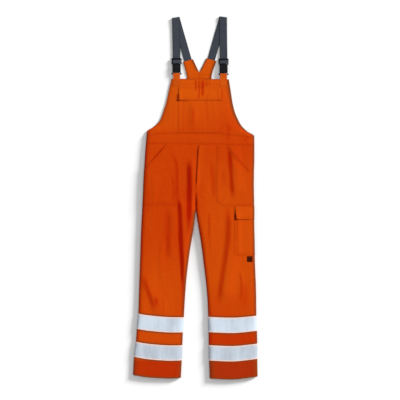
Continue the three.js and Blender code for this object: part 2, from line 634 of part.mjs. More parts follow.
for (const { side, buckle, top, fold, arm } of STRAPS) {
  const placed = (shape) => geometryOf(shape).translate(buckle, top, BUCKLE_Z);
  add(`buckle_slider_${side}`, placed(slider()), PLASTIC);
  add(`buckle_socket_${side}`, placed(socket()), PLASTIC);

  // The back run rises from the yoke arm, turns over at the fold and comes down to the slider.
  const [foldAt, armAt, slideAt] = [fold, arm, [buckle, top]].map(([x, y]) => new THREE.Vector3(x, y, 0));
  const upward = foldAt.clone().sub(armAt).normalize();
  const downward = slideAt.clone().sub(foldAt).normalize();
  const past = upward.clone().sub(downward).normalize();
  const crease = new THREE.Vector3(past.y, -past.x, 0);
  const axis = foldAt.clone().addScaledVector(past, -FOLD_RADIUS - STRAP / 2);
  const acrossUp = new THREE.Vector3(upward.y, -upward.x, 0);
  const acrossDown = new THREE.Vector3(-downward.y, downward.x, 0);
  const slanted = crease.clone().divideScalar(crease.dot(acrossUp));
  const lying = STRAP / 2;
  const turn = shares(6, 0, Math.PI).map((angle) => ({
    middle: axis.clone().addScaledVector(past, FOLD_RADIUS * Math.sin(angle))
      .setZ(lying + FOLD_RADIUS * (1 - Math.cos(angle))),
    across: slanted,
    normal: past.clone().multiplyScalar(-Math.sin(angle)).setZ(Math.cos(angle)),
  }));
  const start = { middle: armAt.clone().addScaledVector(upward, GAP).setZ(lying), across: acrossUp,
    normal: new THREE.Vector3(0, 0, 1) };
  const run = FRONT_RUN.map(({ down, z }) => ({
    middle: axis.clone().addScaledVector(downward, down).setZ(z), across: acrossDown,
    normal: new THREE.Vector3(0, 0, -1),
  }));
  const gripped = sideways(buckle, SLIDER_PATH.map(({ along, z }) => [top - along, BUCKLE_Z + z]));
  add(`strap_${side}`, ribbon([start, ...turn, ...run, ...gripped], STRAP_WIDTH, STRAP), WEBBING);

  // The tab lies on the bib, sewn on, and loops round the bar of the socket.
  const lift = GAP + CLOTH / 2 + TAB_EASE;
  const sewn = TAB_SEWN.map((y) => {
    const ends = [buckle - TAB_WIDTH / 2, buckle + TAB_WIDTH / 2].map((x) => {
      const up = (y - bibSeam(x)) / (bibTop(x) - bibSeam(x));
      return new THREE.Vector3(x, y, bibHeight(x, Math.min(up, 1)));
    });
    const across = ends[1].clone().sub(ends[0]).divideScalar(TAB_WIDTH);
    const normal = new THREE.Vector3(-across.z, 0, across.x).normalize();
    const middle = ends[0].clone().add(ends[1]).divideScalar(2).addScaledVector(normal, lift);
    return { middle, across, normal };
  });
  const loop = sideways(buckle, TAB_LOOP.map(({ along, z }) => [top - along, BUCKLE_Z + z]));
  add(`tab_${side}`, ribbon([...sewn, ...loop], TAB_WIDTH, CLOTH), ORANGE);
}

export default overalls;
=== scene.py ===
"""Bib overalls of high-visibility workwear, laid out flat with the front up.

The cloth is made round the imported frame: each panel repeats its solid's form in fine shells,
with creases, seams and stitches. Shapes are worked out in millimetres and made in metres.
Left and right are those of the laid-out garment, seen from above.
"""
import math

import bmesh
import bpy
import numpy as np
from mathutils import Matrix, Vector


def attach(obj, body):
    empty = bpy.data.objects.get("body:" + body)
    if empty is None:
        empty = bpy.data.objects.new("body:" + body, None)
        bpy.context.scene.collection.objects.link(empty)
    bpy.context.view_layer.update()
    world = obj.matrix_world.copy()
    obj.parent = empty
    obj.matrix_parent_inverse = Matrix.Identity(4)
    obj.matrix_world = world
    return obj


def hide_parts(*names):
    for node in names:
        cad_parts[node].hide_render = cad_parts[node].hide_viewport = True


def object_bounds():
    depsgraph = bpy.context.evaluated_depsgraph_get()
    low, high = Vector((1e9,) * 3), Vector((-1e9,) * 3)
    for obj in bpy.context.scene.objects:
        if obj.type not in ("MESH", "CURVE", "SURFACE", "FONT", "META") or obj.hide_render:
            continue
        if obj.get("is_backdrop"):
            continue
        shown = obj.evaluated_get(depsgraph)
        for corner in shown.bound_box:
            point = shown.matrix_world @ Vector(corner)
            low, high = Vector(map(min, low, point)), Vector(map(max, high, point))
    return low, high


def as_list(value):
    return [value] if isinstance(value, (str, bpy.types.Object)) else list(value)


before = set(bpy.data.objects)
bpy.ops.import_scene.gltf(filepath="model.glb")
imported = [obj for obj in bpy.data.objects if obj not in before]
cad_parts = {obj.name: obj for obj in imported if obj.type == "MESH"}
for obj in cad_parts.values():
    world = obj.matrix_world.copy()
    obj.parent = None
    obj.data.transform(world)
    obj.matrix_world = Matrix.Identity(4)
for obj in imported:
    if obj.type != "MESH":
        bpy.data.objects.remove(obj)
CAD_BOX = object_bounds()
MM = 0.001
RANDOM_SEED = 7

# ---------- driving dimensions, as the frame has them ----------
CLOTH = 1.2  # twill of the legs, bib and yoke
DOUBLE = 1.6  # folded twill of the waistbands
PATCH = 1.0  # pockets, flaps and reflective tape, in the frame
FINE = 0.7  # the same, as it is made here
NEAR = 0.12  # how close it lies to the cloth under it
GAP = 0.3  # between neighbouring pieces
SEAM = 5  # height of the side seams and inseams above the surface
BIB_EDGE = 3  # height of the free armhole edges
FRONT_TURN = 26  # width over which a front rounds down to its side seam
INSEAM_TURN = 24
BIB_TURN = 60
BACK_TURN = 8
TAPED = PATCH + GAP  # the backs lie this much higher over the tapes
CARGO_RAISE = 2 * (PATCH + GAP)
CARGO_REACH = 140
CARGO_SLOPE = 45
CROTCH = -46
CROTCH_RISE = 90
CENTRE_BACK = 18
STRAP_WIDTH = 35
ARM_WIDTH = 47
STRAP = 1.6
FOLD_RADIUS = 1.9
BUCKLE_Z = 4.9
HEM_TURN = 14  # depth of the turned hem

# Rows of the legs: height of the row, side seams, inseams, crown of the front, raise of the back.
SECTIONS = np.array([
    (-830, -286, -66, 66, 286, 13, 0),
    (-746.5, -281.2, -62, 63, 284.7, 13, TAPED),
    (-676.5, -272.6, -59.3, 61.2, 284.5, 13.5, TAPED),
    (-616.5, -268.2, -56.9, 60.7, 283, 13.5, TAPED),
    (-546.5, -261.6, -52.5, 59.2, 280.3, 14, TAPED),
    (-470, -259, -48, 56, 279.5, 14, 0),
    (-400, -257, -43, 50, 278, 14, 0),
    (-345, -255, -37.5, 43.5, 275.5, 14.5, 0),
    (-290, -253.6, -30.8, 37, 273.6, 15, 0),
    (-264, -252.5, -27.5, 34, 273, 15, 0),
    (-200, -250.6, -17.2, 25, 271.7, 15.5, 0),
    (-140, -248, -7.2, 15, 270.2, 16, 0),
    (-90, -245.5, -1.5, 7, 269.7, 16, 0),
    (CROTCH, -243.1, 2, 2, 269.6, 16, 0),
    (-36, -242.5, 2, 2, 269.4, 16, 0),
    (10, -240.1, 1.5, 1.5, 268.6, 16, 0),
    (60, -238.3, 2.5, 2.5, 267.8, 16, 0),
    (120, -235.5, 6, 6, 269.2, 15.5, 0),
    (180, -231.8, 11, 11, 271, 15, 0),
    (246, -227, 16.5, 16.5, 271.2, 14.5, 0),
], float)
LEVEL, SIDE_LEFT, INNER_LEFT, INNER_RIGHT, SIDE_RIGHT, CROWN, RAISE = range(7)
# Rows of the bib: share of the way up, left edge, right edge, crown.
BIB_SECTIONS = np.array([
    (0, -223.7, 271, 14),
    (0.04, -223, 269.5, 13.8),
    (0.087, -221.5, 242, 13.4),
    (0.13, -195, 226, 13),
    (0.18, -176.5, 212, 12.6),
    (0.26, -160, 199.5, 12),
    (0.41, -146, 182, 11),
    (0.58, -132.5, 171, 10),
    (0.78, -122, 163, 9),
    (1, -109, 154, 8.4),
], float)
BIB_CORNER = 0.13
# Seams that run across, as points from left to right.
HEM_LEFT = [(-286, -813), (-207, -824.3), (-120, -828.5), (-66, -826)]
HEM_RIGHT = [(66, -829), (165, -833), (286, -820)]
WAIST_SEAM = [(-233, 249), (20, 246), (273, 242)]
BIB_SEAM = [(-226, 283), (-170, 293.5), (-100, 296), (0, 295), (100, 292), (200, 284.5), (272, 274)]
BIB_TOP = [(-109, 546), (154, 543.5)]
TAPES = {"upper": (-616.5, -546.5), "lower": (-746.5, -676.5)}
# Height by which the rows of the left leg are tilted, up at its side and down at its inseam.
LEFT_TILT = [(-830, 0), (-746.5, 2.5), (-616.5, 4), (-546.5, 5), (-470, 4), (-400, 2), (-345, 0)]

# Folds of the front: height, width of the steeper left side and of the gentler right side,
# length over which the ends run out, and the points of the crest. The first seven are the
# frame's; the rest are smaller creases and dents.
FOLDS = [
    (7, 30, 40, 60, [(-14, 195), (-14, 130), (-12, 0), (-16, -130), (-26, -190)]),
    (7, 26, 45, 40, [(-62, 0), (-56, -100), (-53, -200), (-47, -290), (-44, -400)]),
    (3.6, 34, 60, 60, [(-228, -340), (-212, -414), (-190, -460), (-168, -550)]),
    (2.5, 30, 45, 60, [(-103, -30), (-101, -130), (-108, -216), (-110, -300)]),
    (5, 30, 50, 50, [(170, 250), (176, 190), (184, 110), (186, 0)]),
    (6, 40, 60, 60, [(172, -60), (167, -170), (160, -262), (144, -377), (130, -490)]),
    (2.5, 24, 45, 60, [(-14, 460), (-12, 380), (-14, 300)]),
    (1.6, 14, 26, 50, [(96, 180), (100, 80), (96, -30)]),
    (1.2, 12, 30, 45, [(62, -60), (70, -150), (74, -260)]),
    (1.3, 14, 22, 40, [(-152, -180), (-158, -290), (-150, -390)]),
    (1.1, 12, 20, 40, [(-196, 120), (-190, 20), (-200, -70)]),
    (1.4, 12, 20, 26, [(-150, -440), (-140, -490), (-143, -535)]),
    (1.3, 10, 18, 30, [(205, -330), (214, -400), (210, -480)]),
    (0.9, 8, 14, 20, [(30, 70), (44, 52), (66, 44)]),
    (0.9, 8, 12, 20, [(18, 20), (36, 4), (62, -2)]),
    (1.0, 9, 14, 18, [(238, 292), (248, 276), (262, 264)]),
    (0.9, 8, 12, 16, [(226, 268), (240, 256), (252, 250)]),
    (1.0, 12, 18, 22, [(-40, 262), (4, 268), (44, 262)]),
    (0.7, 12, 16, 30, [(-206, -20), (-160, -12), (-110, -18)]),
    (1.2, 14, 20, 34, [(-118, 360), (-126, 400), (-112, 470)]),
    (1.0, 12, 18, 30, [(140, 480), (146, 420), (158, 366)]),
]
# The same for the backs, upwards from the surface that they lie on.
BACK_FOLDS = [
    (2.6, 20, 34, 60, [(-90, 150), (-96, 0), (-88, -160), (-96, -260)]),
    (2.2, 18, 40, 60, [(-176, 60), (-168, -120), (-178, -330), (-170, -500)]),
    (2.4, 22, 30, 50, [(-228, -300), (-204, -420), (-176, -520)]),
    (1.6, 16, 26, 40, [(-120, -560), (-124, -640), (-118, -780)]),
    (2.6, 22, 36, 60, [(74, 160), (84, 20), (80, -150), (92, -280)]),
    (2.2, 26, 34, 60, [(150, -120), (142, -280), (158, -420), (150, -520)]),
    (1.8, 18, 28, 40, [(214, -480), (206, -600), (212, -740)]),
    (1.6, 14, 20, 30, [(-150, 214), (-60, 226), (-10, 214)]),
    (1.5, 14, 20, 30, [(50, 218), (120, 226), (200, 210)]),
]

# ---------- helpers ----------


def mix(a, b, t):
    return a + (b - a) * t


def clamp(t):
    return np.clip(t, 0.0, 1.0)


def smooth(t):
    t = clamp(t)
    return t * t * (3 - 2 * t)


def bell(distance, width):
    return np.exp(-((distance / width) ** 2))


def arch(t, power=1.0):
    """0 at both ends and 1 in the middle."""
    return np.sin(np.pi * clamp(t)) ** power


def unit(vectors):
    return vectors / np.maximum(np.linalg.norm(vectors, axis=-1, keepdims=True), 1e-12)


def lengths_along(path):
    """The way from the first point of a path to each of its points."""
    return np.concatenate([[0], np.cumsum(np.linalg.norm(np.diff(path, axis=0), axis=1))])


def at_lengths(path, lengths, places):
    return np.stack([np.interp(places, lengths, column) for column in path.T], -1)


def evenly(points, count):
    """A broken line resampled to a count of points, evenly along it."""
    points = np.asarray(points, float)
    lengths = lengths_along(points)
    return at_lengths(points, lengths, np.linspace(0, lengths[-1], count))


def leftward(points):
    """Unit vectors to the left of a path, at each of its points."""
    step = unit(np.gradient(points, axis=0))
    return np.stack([-step[:, 1], step[:, 0]], -1)


def inset_line(points, inset):
    """A broken line moved to its left by an inset, for rows of stitches beside an edge."""
    points = evenly(points, 40)
    return [tuple(p) for p in points + leftward(points) * inset]


def through(x, y):
    """A smooth curve through the points that never overshoots one."""
    x, y = np.asarray(x, float), np.asarray(y, float)
    rise = np.diff(y) / np.diff(x)
    slope = np.concatenate([rise[:1], np.zeros(len(x) - 2), rise[-1:]])
    before, after = rise[:-1], rise[1:]
    same = before * after > 0
    slope[1:-1][same] = 2 * before[same] * after[same] / (before[same] + after[same])

    def curve(at):
        at = np.clip(at, x[0], x[-1])
        i = np.clip(np.searchsorted(x, at, side="right") - 1, 0, len(x) - 2)
        span = x[i + 1] - x[i]
        t = (at - x[i]) / span
        t2, t3 = t * t, t * t * t
        return (
            y[i] * (2 * t3 - 3 * t2 + 1) + slope[i] * span * (t3 - 2 * t2 + t)
            + y[i + 1] * (3 * t2 - 2 * t3) + slope[i + 1] * span * (t3 - t2)
        )

    return curve


def along(points):
    """The same through a list of (x, y) points."""
    x, y = zip(*points)
    return through(x, y)


def across(points):
    """X as a smooth curve of Y through a list of (x, y) points, in any order."""
    x, y = zip(*sorted(points, key=lambda point: point[1]))
    return through(y, x)


def straight(points):
    """X as a broken line of Y through a list of (x, y) points."""
    x, y = zip(*sorted(points, key=lambda point: point[1]))
    return lambda at: np.interp(at, y, x)


def value_noise(seed):
    """Smooth noise between -1 and 1 of two coordinates, with one swing to each unit."""
    lattice = np.random.default_rng(RANDOM_SEED + seed).uniform(-1, 1, (64, 64))

    def noise(s, t):
        i, j = np.floor(s).astype(int), np.floor(t).astype(int)
        a, b = smooth(s - i), smooth(t - j)
        corner = lambda di, dj: lattice[(i + di) % 64, (j + dj) % 64]
        low = mix(corner(0, 0), corner(1, 0), a)
        return mix(low, mix(corner(0, 1), corner(1, 1), a), b)

    return noise


# ---------- the form of the garment ----------


def rounding(distance, turn, power=0.5):
    """0 on an edge and 1 a turn's width from it, along a quarter of an ellipse or, for 1, flatter."""
    return np.maximum(1 - (1 - clamp(distance / turn)) ** 2, 0) ** power


def ridges(folds):
    """How far the folds of a table stand up at a place."""
    rows = []
    for height, rise, fall, fade, crest in folds:
        points = np.array(crest, float)
        spans = np.abs(points[-1] - points[0])
        upright = spans[1] >= spans[0]
        by, of = (1, 0) if upright else (0, 1)
        points = points[np.argsort(points[:, by])]
        curve = through(points[:, by], points[:, of])
        rows.append((height, rise, fall, fade, upright, curve, points[0, by], points[-1, by]))

    def relief(x, y):
        total = np.zeros(np.broadcast(x, y).shape)
        for height, rise, fall, fade, upright, curve, low, high in rows:
            place, offset = (y, x) if upright else (x, y)
            offset = offset - curve(place)
            side = np.where(offset < 0, -offset / rise, offset / fall)
            ends = smooth((place - low) / fade) * smooth((high - place) / fade)
            total = total + height * ends * 0.5 * (1 + np.cos(np.pi * clamp(side)))
        return total

    return relief


front_relief = ridges(FOLDS)
back_relief = ridges(BACK_FOLDS)
slow_noise, quick_noise, pucker_noise = value_noise(1), value_noise(2), value_noise(3)


def handled(x, y):
    """Shallow unevenness of cloth that has been folded and handled: long swings and short ones."""
    return 0.55 * slow_noise(x / 64, y / 110) + 0.22 * quick_noise(x / 21 + y / 90, y / 44)


section = [through(SECTIONS[:, LEVEL], SECTIONS[:, k]) for k in range(7)]
bib_left, bib_right, bib_crown = [through(BIB_SECTIONS[:, 0], BIB_SECTIONS[:, k]) for k in (1, 2, 3)]
hem_left, hem_right = along(HEM_LEFT), along(HEM_RIGHT)
waist_seam, bib_seam, bib_top = along(WAIST_SEAM), along(BIB_SEAM), along(BIB_TOP)
left_tilt = along(LEFT_TILT)
LOWEST, WAIST = SECTIONS[0, LEVEL], SECTIONS[-1, LEVEL]
TURN_SHARE = 0.25


def parted(y):
    return 1 - smooth((y - CROTCH) / CROTCH_RISE)


def spread(u, left, right, turn_left, turn_right):
    """X of a share u of a row, whose columns bunch up at both edges."""
    near = left + turn_left * (1 - np.cos(u / TURN_SHARE * np.pi / 2))
    far = right - turn_right * (1 - np.cos((1 - u) / TURN_SHARE * np.pi / 2))
    middle = mix(left + turn_left, right - turn_right, (u - TURN_SHARE) / (1 - 2 * TURN_SHARE))
    return np.where(u < TURN_SHARE, near, np.where(u > 1 - TURN_SHARE, far, middle))


def gather(x, left, right, turn_left, turn_right):
    """The share u of an X, the inverse of spread."""
    near = np.arccos(1 - clamp((x - left) / turn_left)) * 2 / np.pi * TURN_SHARE
    far = 1 - np.arccos(1 - clamp((right - x) / turn_right)) * 2 / np.pi * TURN_SHARE
    inside = (x - left - turn_left) / (right - left - turn_left - turn_right)
    middle = mix(TURN_SHARE, 1 - TURN_SHARE, inside)
    return np.where(x < left + turn_left, near, np.where(x > right - turn_right, far, middle))


class Panel:
    """A panel of cloth: u is 0 at its left edge, v is 0 at its lower one. It faces up or down."""

    def __init__(self, edges, bottom, top, height, facing=1, tilt=lambda x, v: 0.0):
        self.edges, self.bottom, self.top, self.height = edges, bottom, top, height
        self.facing, self.tilt = facing, tilt

    def point(self, u, v):
        x = spread(u, *self.edges(v))
        y = mix(self.bottom(x), self.top(x), v) + self.tilt(x, v)
        return np.stack([x, y, self.height(x, y, v)], -1)

    def sample(self, u, v):
        """Points and outward normals; the normals of the end rows are kept level."""
        step = 1e-4
        right, left = self.point(np.minimum(u + step, 1), v), self.point(np.maximum(u - step, 0), v)
        above, below = self.point(u, np.minimum(v + step, 1)), self.point(u, np.maximum(v - step, 0))
        normal = np.cross(right - left, above - below)
        normal[..., 1] = np.where((v <= 0) | (v >= 1), 0, normal[..., 1])
        return self.point(u, v), unit(normal) * self.facing

    def share_up(self, x, y, v=0.5):
        return (y - self.tilt(x, v) - self.bottom(x)) / (self.top(x) - self.bottom(x))

    def locate(self, x, y):
        v = self.share_up(x, y)
        for _ in range(3):
            v = self.share_up(x, y, v)
        return gather(x, *self.edges(v)), v

    def level_row(self, u, y):
        """v of the places with this u at this height, found by going closer and closer."""
        v = np.full(np.broadcast(u, y).shape, 0.5)
        for _ in range(6):
            v = self.share_up(spread(u, *self.edges(v)), y, v)
        return v


def raised(y, from_right_side):
    """How far a back lies above the surface, over tape or over the pocket under it."""
    near = clamp((CARGO_REACH + CARGO_SLOPE - from_right_side) / CARGO_SLOPE)
    above = clamp((y + 290) / 26) * clamp((10 - y) / 46)
    return np.maximum(section[RAISE](y), CARGO_RAISE * near * above)


def leg_edges(side):
    """A leg's hem as Y by X, and its inseam and its side seam as X by Y."""
    if side == "left":
        return hem_left, section[INNER_LEFT], section[SIDE_LEFT]
    return hem_right, section[INNER_RIGHT], section[SIDE_RIGHT]


def leg(side, is_front):
    is_left = side == "left"
    hem, inner, outer = leg_edges(side)
    turn_out, turn_in = (FRONT_TURN, INSEAM_TURN) if is_front else (BACK_TURN, BACK_TURN)

    def seam(level):
        return inner(level) + (-GAP / 2 if is_left else GAP / 2)

    def edges(v):
        level = mix(LOWEST, WAIST, v)
        if is_left:
            return outer(level), seam(level), turn_out, turn_in
        return seam(level), outer(level), turn_in, turn_out

    def height(x, y, v):
        level = mix(LOWEST, WAIST, v)
        from_side, from_inner = np.abs(x - outer(level)), np.abs(x - seam(level))
        edge = 1 - parted(level) * (1 - rounding(from_inner, turn_in))
        fullness = rounding(from_side, turn_out) * edge
        if is_front:
            form = section[CROWN](level) + front_relief(x, y) + handled(x, y)
            return mix(SEAM, form, fullness) - seam_dip(x, y)
        lift = raised(level, np.inf if is_left else from_side)
        return mix(SEAM - GAP, lift + back_relief(x, y), fullness)

    def tilt(x, v):
        left, right = edges(v)[:2]
        return left_tilt(mix(LOWEST, WAIST, v)) * mix(1, -1, (x - left) / (right - left)) if is_left else 0.0

    return Panel(edges, hem, lambda x: waist_seam(x) - GAP / 2, height, 1 if is_front else -1, tilt)


def seam_dip(x, y):
    """Cloth is drawn down a little where it is sewn to the next panel."""
    waist = 0.35 * bell(y - waist_seam(x), 3) + 0.35 * bell(y - bib_seam(x), 3)
    centre = 0.5 * bell(x - section[INNER_LEFT](y), 4) * smooth((y - CROTCH + 20) / 30)
    return waist + centre * (y < waist_seam(x))


def waistband(is_front):
    turn = FRONT_TURN if is_front else BACK_TURN

    def edges(v):
        left = mix(section[SIDE_LEFT](WAIST), BIB_SECTIONS[0, 1], v)
        right = mix(section[SIDE_RIGHT](WAIST), BIB_SECTIONS[0, 2], v)
        return left, right, turn, turn

    def height(x, y, v):
        left, right = edges(v)[:2]
        fullness = rounding(x - left, turn) * rounding(right - x, turn)
        if not is_front:
            return mix(SEAM - GAP, 0, fullness)
        crown = mix(section[CROWN](WAIST), BIB_SECTIONS[0, 3], v)
        return mix(SEAM, crown + front_relief(x, y) + handled(x, y), fullness) - seam_dip(x, y)

    return Panel(
        edges, lambda x: waist_seam(x) + GAP / 2, lambda x: bib_seam(x) - GAP / 2, height,
        1 if is_front else -1,
    )


def bib():
    def turn(v):
        return mix(FRONT_TURN, BIB_TURN, smooth(v / BIB_CORNER))

    def edges(v):
        return bib_left(v), bib_right(v), turn(v), turn(v)

    def height(x, y, v):
        free = smooth(v / BIB_CORNER)
        power = mix(0.5, 1, free)
        fullness = rounding(x - bib_left(v), turn(v), power) * rounding(bib_right(v) - x, turn(v), power)
        form = bib_crown(v) + front_relief(x, y) + handled(x, y)
        return mix(mix(SEAM, BIB_EDGE, free), form, fullness) - seam_dip(x, y)

    return Panel(edges, lambda x: bib_seam(x) + GAP / 2, bib_top, height)


FRONTS = {side: leg(side, True) for side in ("left", "right")}
BACKS = {side: leg(side, False) for side in ("left", "right")}
BAND, BACK_BAND, BIB = waistband(True), waistband(False), bib()


class Around:
    """Once round a leg from inseam to inseam: w is 0 to 1 on the front and 1 to 2 on the back."""

    def __init__(self, side):
        self.front, self.back, self.is_left = FRONTS[side], BACKS[side], side == "left"

    def share(self, w):
        on_front = np.where(w <= 1, w, 2 - w)
        return 1 - on_front if self.is_left else on_front

    def sample(self, w, v):
        u = self.share(w)
        front, back = self.front.sample(u, v), self.back.sample(u, v)
        pick = (w <= 1)[..., None]
        return np.where(pick, front[0], back[0]), np.where(pick, front[1], back[1])


# ---------- making meshes ----------


def cells(start, stop, step):
    """Places from start to stop about a step apart."""
    return np.linspace(start, stop, max(int(round(abs(stop - start) / step)), 1) + 1)


def rows_between(length, step, close=(1.2, 3.0, 5.5)):
    """Shares of a length, with a few rows close to each end, where the seams are."""
    near = np.array((0.0, *close))
    middle = cells(close[-1] + step, length - close[-1] - step, step)
    return np.concatenate([near, middle, length - near[::-1]]) / length


def columns_for(turn_cells, middle_width, step):
    middle = max(int(round(middle_width / step)), 2)
    return np.concatenate([
        np.linspace(0, TURN_SHARE, turn_cells + 1),
        np.linspace(TURN_SHARE, 1 - TURN_SHARE, middle + 1)[1:-1],
        np.linspace(1 - TURN_SHARE, 1, turn_cells + 1),
    ])


def new_object(name, vertices, faces, material, smooth_angle=50, attributes=None, uv=None):
    """A mesh object from millimetres, with a float attribute for each name and an optional UV map."""
    mesh = bpy.data.meshes.new(name)
    mesh.from_pydata((np.asarray(vertices, float) * MM).tolist(), [], faces)
    mesh.update()
    for key, values in (attributes or {}).items():
        layer = mesh.attributes.new(key, "FLOAT", "POINT")
        layer.data.foreach_set("value", np.asarray(values, np.float32).ravel())
    if uv is not None:
        corner = np.empty(len(mesh.loops), np.int32)
        mesh.loops.foreach_get("vertex_index", corner)
        layer = mesh.uv_layers.new(name="weave")
        layer.data.foreach_set("uv", np.asarray(uv, np.float32)[corner].ravel())
    mesh.polygons.foreach_set("use_smooth", np.ones(len(mesh.polygons), bool))
    mesh.set_sharp_from_angle(angle=math.radians(smooth_angle))
    mesh.materials.append(material)
    piece = bpy.data.objects.new(name, mesh)
    bpy.context.scene.collection.objects.link(piece)
    return piece


def shell_mesh(points, normals, low, high):
    """Vertices and faces of the closed shell between two distances from a grid of points."""
    height, width = points.shape[:2]
    low, high = [np.broadcast_to(d, (height, width))[..., None] for d in (low, high)]
    vertices = np.concatenate([(points + normals * away).reshape(-1, 3) for away in (high, low)])
    shift = height * width
    outer = np.arange(shift).reshape(height, width)
    inner = outer + shift
    quads = lambda a: np.stack([a[:-1, :-1], a[:-1, 1:], a[1:, 1:], a[1:, :-1]], -1).reshape(-1, 4)
    ring = np.concatenate([outer[0, :], outer[1:, -1], outer[-1, -2::-1], outer[-2:0:-1, 0]])
    after = np.roll(ring, -1)
    rim = np.stack([ring + shift, after + shift, after, ring], -1)
    faces = np.concatenate([quads(outer), quads(inner)[:, ::-1], rim])
    a, b, c, d = [vertices[faces[:, k]] for k in range(4)]
    volume = (a * np.cross(b, c)).sum() + (a * np.cross(c, d)).sum()
    return vertices, (faces if volume > 0 else faces[:, ::-1])


def grid_area(points):
    a, b, c, d = points[:-1, :-1], points[:-1, 1:], points[1:, 1:], points[1:, :-1]
    crosses = np.cross(b - a, c - a), np.cross(c - a, d - a)
    return sum(np.linalg.norm(cross, axis=-1) for cross in crosses).sum() / 2


def cut_of(points):
    """Width, length and area in metres of the flat cut of a grid of cloth, as far as it shows."""
    widths = np.linalg.norm(np.diff(points, axis=1), axis=-1).sum(1)
    lengths = np.linalg.norm(np.diff(points, axis=0), axis=-1).sum(0)
    width, length = np.ptp(points[..., 0]), np.ptp(points[..., 1])
    width, length = max(widths.max(), width), max(lengths.max(), length)
    return (width * MM, length * MM), min(grid_area(points), width * length) * MM * MM


def seat(piece, slot, *nodes):
    """Every piece rides on the one body and stands for its solids, which are hidden; the slot is not used.
    """
    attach(piece, "root")
    if nodes:
        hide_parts(*nodes)
    return piece


def cloth(name, points, normals, low, high, material, slot, node, rests_on, tone=0.0, lines=(), flat=None,
          uv=None, dark=0.0, rim=0.0):
    """A sewn piece of cloth: its shell, the tone of its dye with painted shade on slopes that face away from
    the key light, its seams' lines, its painted shadows and its browned edges.
    """
    shade = tone - away_slope_shade(normals)
    seam = closeness(points, lines)
    vertices, faces = shell_mesh(points, normals, low, high)
    looks = {"tone": shade, "seam": seam, "dark": dark, "rim": rim}
    both = {key: np.tile(np.broadcast_to(at, points.shape[:2]).ravel(), 2) for key, at in looks.items()}
    if uv is not None:
        uv = np.tile(uv.reshape(-1, 2), (2, 1))
    piece = new_object(name, vertices, faces.tolist(), material, attributes=both, uv=uv)
    seat(piece, slot, node)
    size, area = flat or cut_of(points)
    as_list(rests_on)
    return piece


def edge_darkening(distance, reach=7):
    """How brown the cloth is made at this distance in from an edge: painted edge shade, and darker cloth
    beside the tapes.
    """
    return 0.95 * bell(np.maximum(distance - reach / 2, 0), reach)


def side_distances(points):
    """How far each point of a grid is in from its left and its right edge, as seen from above."""
    steps = np.linalg.norm(np.diff(points[..., :2], axis=1), axis=-1)
    from_left = np.concatenate([np.zeros((len(points), 1)), np.cumsum(steps, 1)], 1)
    return from_left, from_left[:, -1:] - from_left


def painted_edge_shade(points, left=0.6, right=1.0, reach=7):
    """Painted shade along the two side edges of a grid: strongest at the right edge, which faces the key
    light, and weaker at the left one, which is already in the shade.
    """
    from_left, from_right = side_distances(points)
    return np.maximum(left * edge_darkening(from_left, reach / 1.6), right * edge_darkening(from_right, reach))


def away_slope_shade(normals):
    """Painted shade: how much deeper the colour is made on the slopes of folds that face away from the key
    light, down and to the left.
    """
    away = -(normals[..., 0] * 0.83 + normals[..., 1] * 0.56)
    return np.where(normals[..., 2] > 0.3, 1.1 * smooth((away - 0.10) / 0.34), 0.0)


LINE_WIDTH = 1.7  # half width of the dimple that a row of stitches makes


def closeness(points, lines, width=LINE_WIDTH):
    """1 on the lines and 0 away from them. A line is a list of (x, y) points."""
    nearest = np.full(points.shape[:2], 1e9)
    x, y = points[..., 0], points[..., 1]
    for line in lines:
        line = np.asarray(line, float)
        for start, end in zip(line[:-1], line[1:]):
            step = end - start
            share = clamp(((x - start[0]) * step[0] + (y - start[1]) * step[1]) / max(step @ step, 1e-9))
            away = np.hypot(x - start[0] - share * step[0], y - start[1] - share * step[1])
            nearest = np.minimum(nearest, away)
    return bell(nearest, width)


# ---------- stitches ----------
STITCH_LENGTH, STITCH_PITCH, STITCH_WIDTH, STITCH_HEIGHT = 2.7, 3.6, 0.62, 0.34
STITCH_SUNK = 0.02  # height of its lower corners
# Corners of a stitch: shares of its half length and half width, and whether it is an upper one.
STITCH_CORNERS = [
    (-1, 0, False), (1, 0, False), (-0.35, -1, False), (-0.35, 1, False),
    (0.35, -1, False), (0.35, 1, False), (-0.45, 0, True), (0.45, 0, True),
]
STITCH_FACES = np.array([
    (0, 2, 6), (0, 6, 3), (2, 4, 7), (2, 7, 6), (3, 6, 7), (3, 7, 5), (4, 1, 7), (1, 5, 7),
    (0, 3, 2), (2, 3, 5), (2, 5, 4), (4, 5, 1),
])
THREADS = {}  # kind of thread: list of the corners of its stitches


def sew(kind, path, normals_at):
    """Adds stitches along a path of 3-D points; normals_at gives the normals at their middles."""
    lengths = lengths_along(path)
    count = max(int(lengths[-1] / STITCH_PITCH), 1)
    places = (np.arange(count) + 0.5) * lengths[-1] / count
    middle, ahead, behind = [at_lengths(path, lengths, places + off) for off in (0, 0.5, -0.5)]
    normal = normals_at(middle)
    direction = ahead - behind
    direction = unit(direction - (direction * normal).sum(-1, keepdims=True) * normal)
    end, half = direction * STITCH_LENGTH / 2, np.cross(normal, direction) * STITCH_WIDTH / 2
    low, top = normal * STITCH_SUNK, normal * STITCH_HEIGHT
    THREADS.setdefault(kind, []).append(np.stack([
        middle + end * ahead_by + half * aside + (top if is_upper else low)
        for ahead_by, aside, is_upper in STITCH_CORNERS
    ], 1))


def densely(line, step=4):
    """A line of (x, y) points with more of them, about a step apart."""
    line = np.asarray(line, float)
    return np.concatenate([
        np.linspace(start, end, max(int(np.hypot(*(end - start)) / step), 1), endpoint=False)
        for start, end in zip(line[:-1], line[1:])
    ] + [line[-1:]])


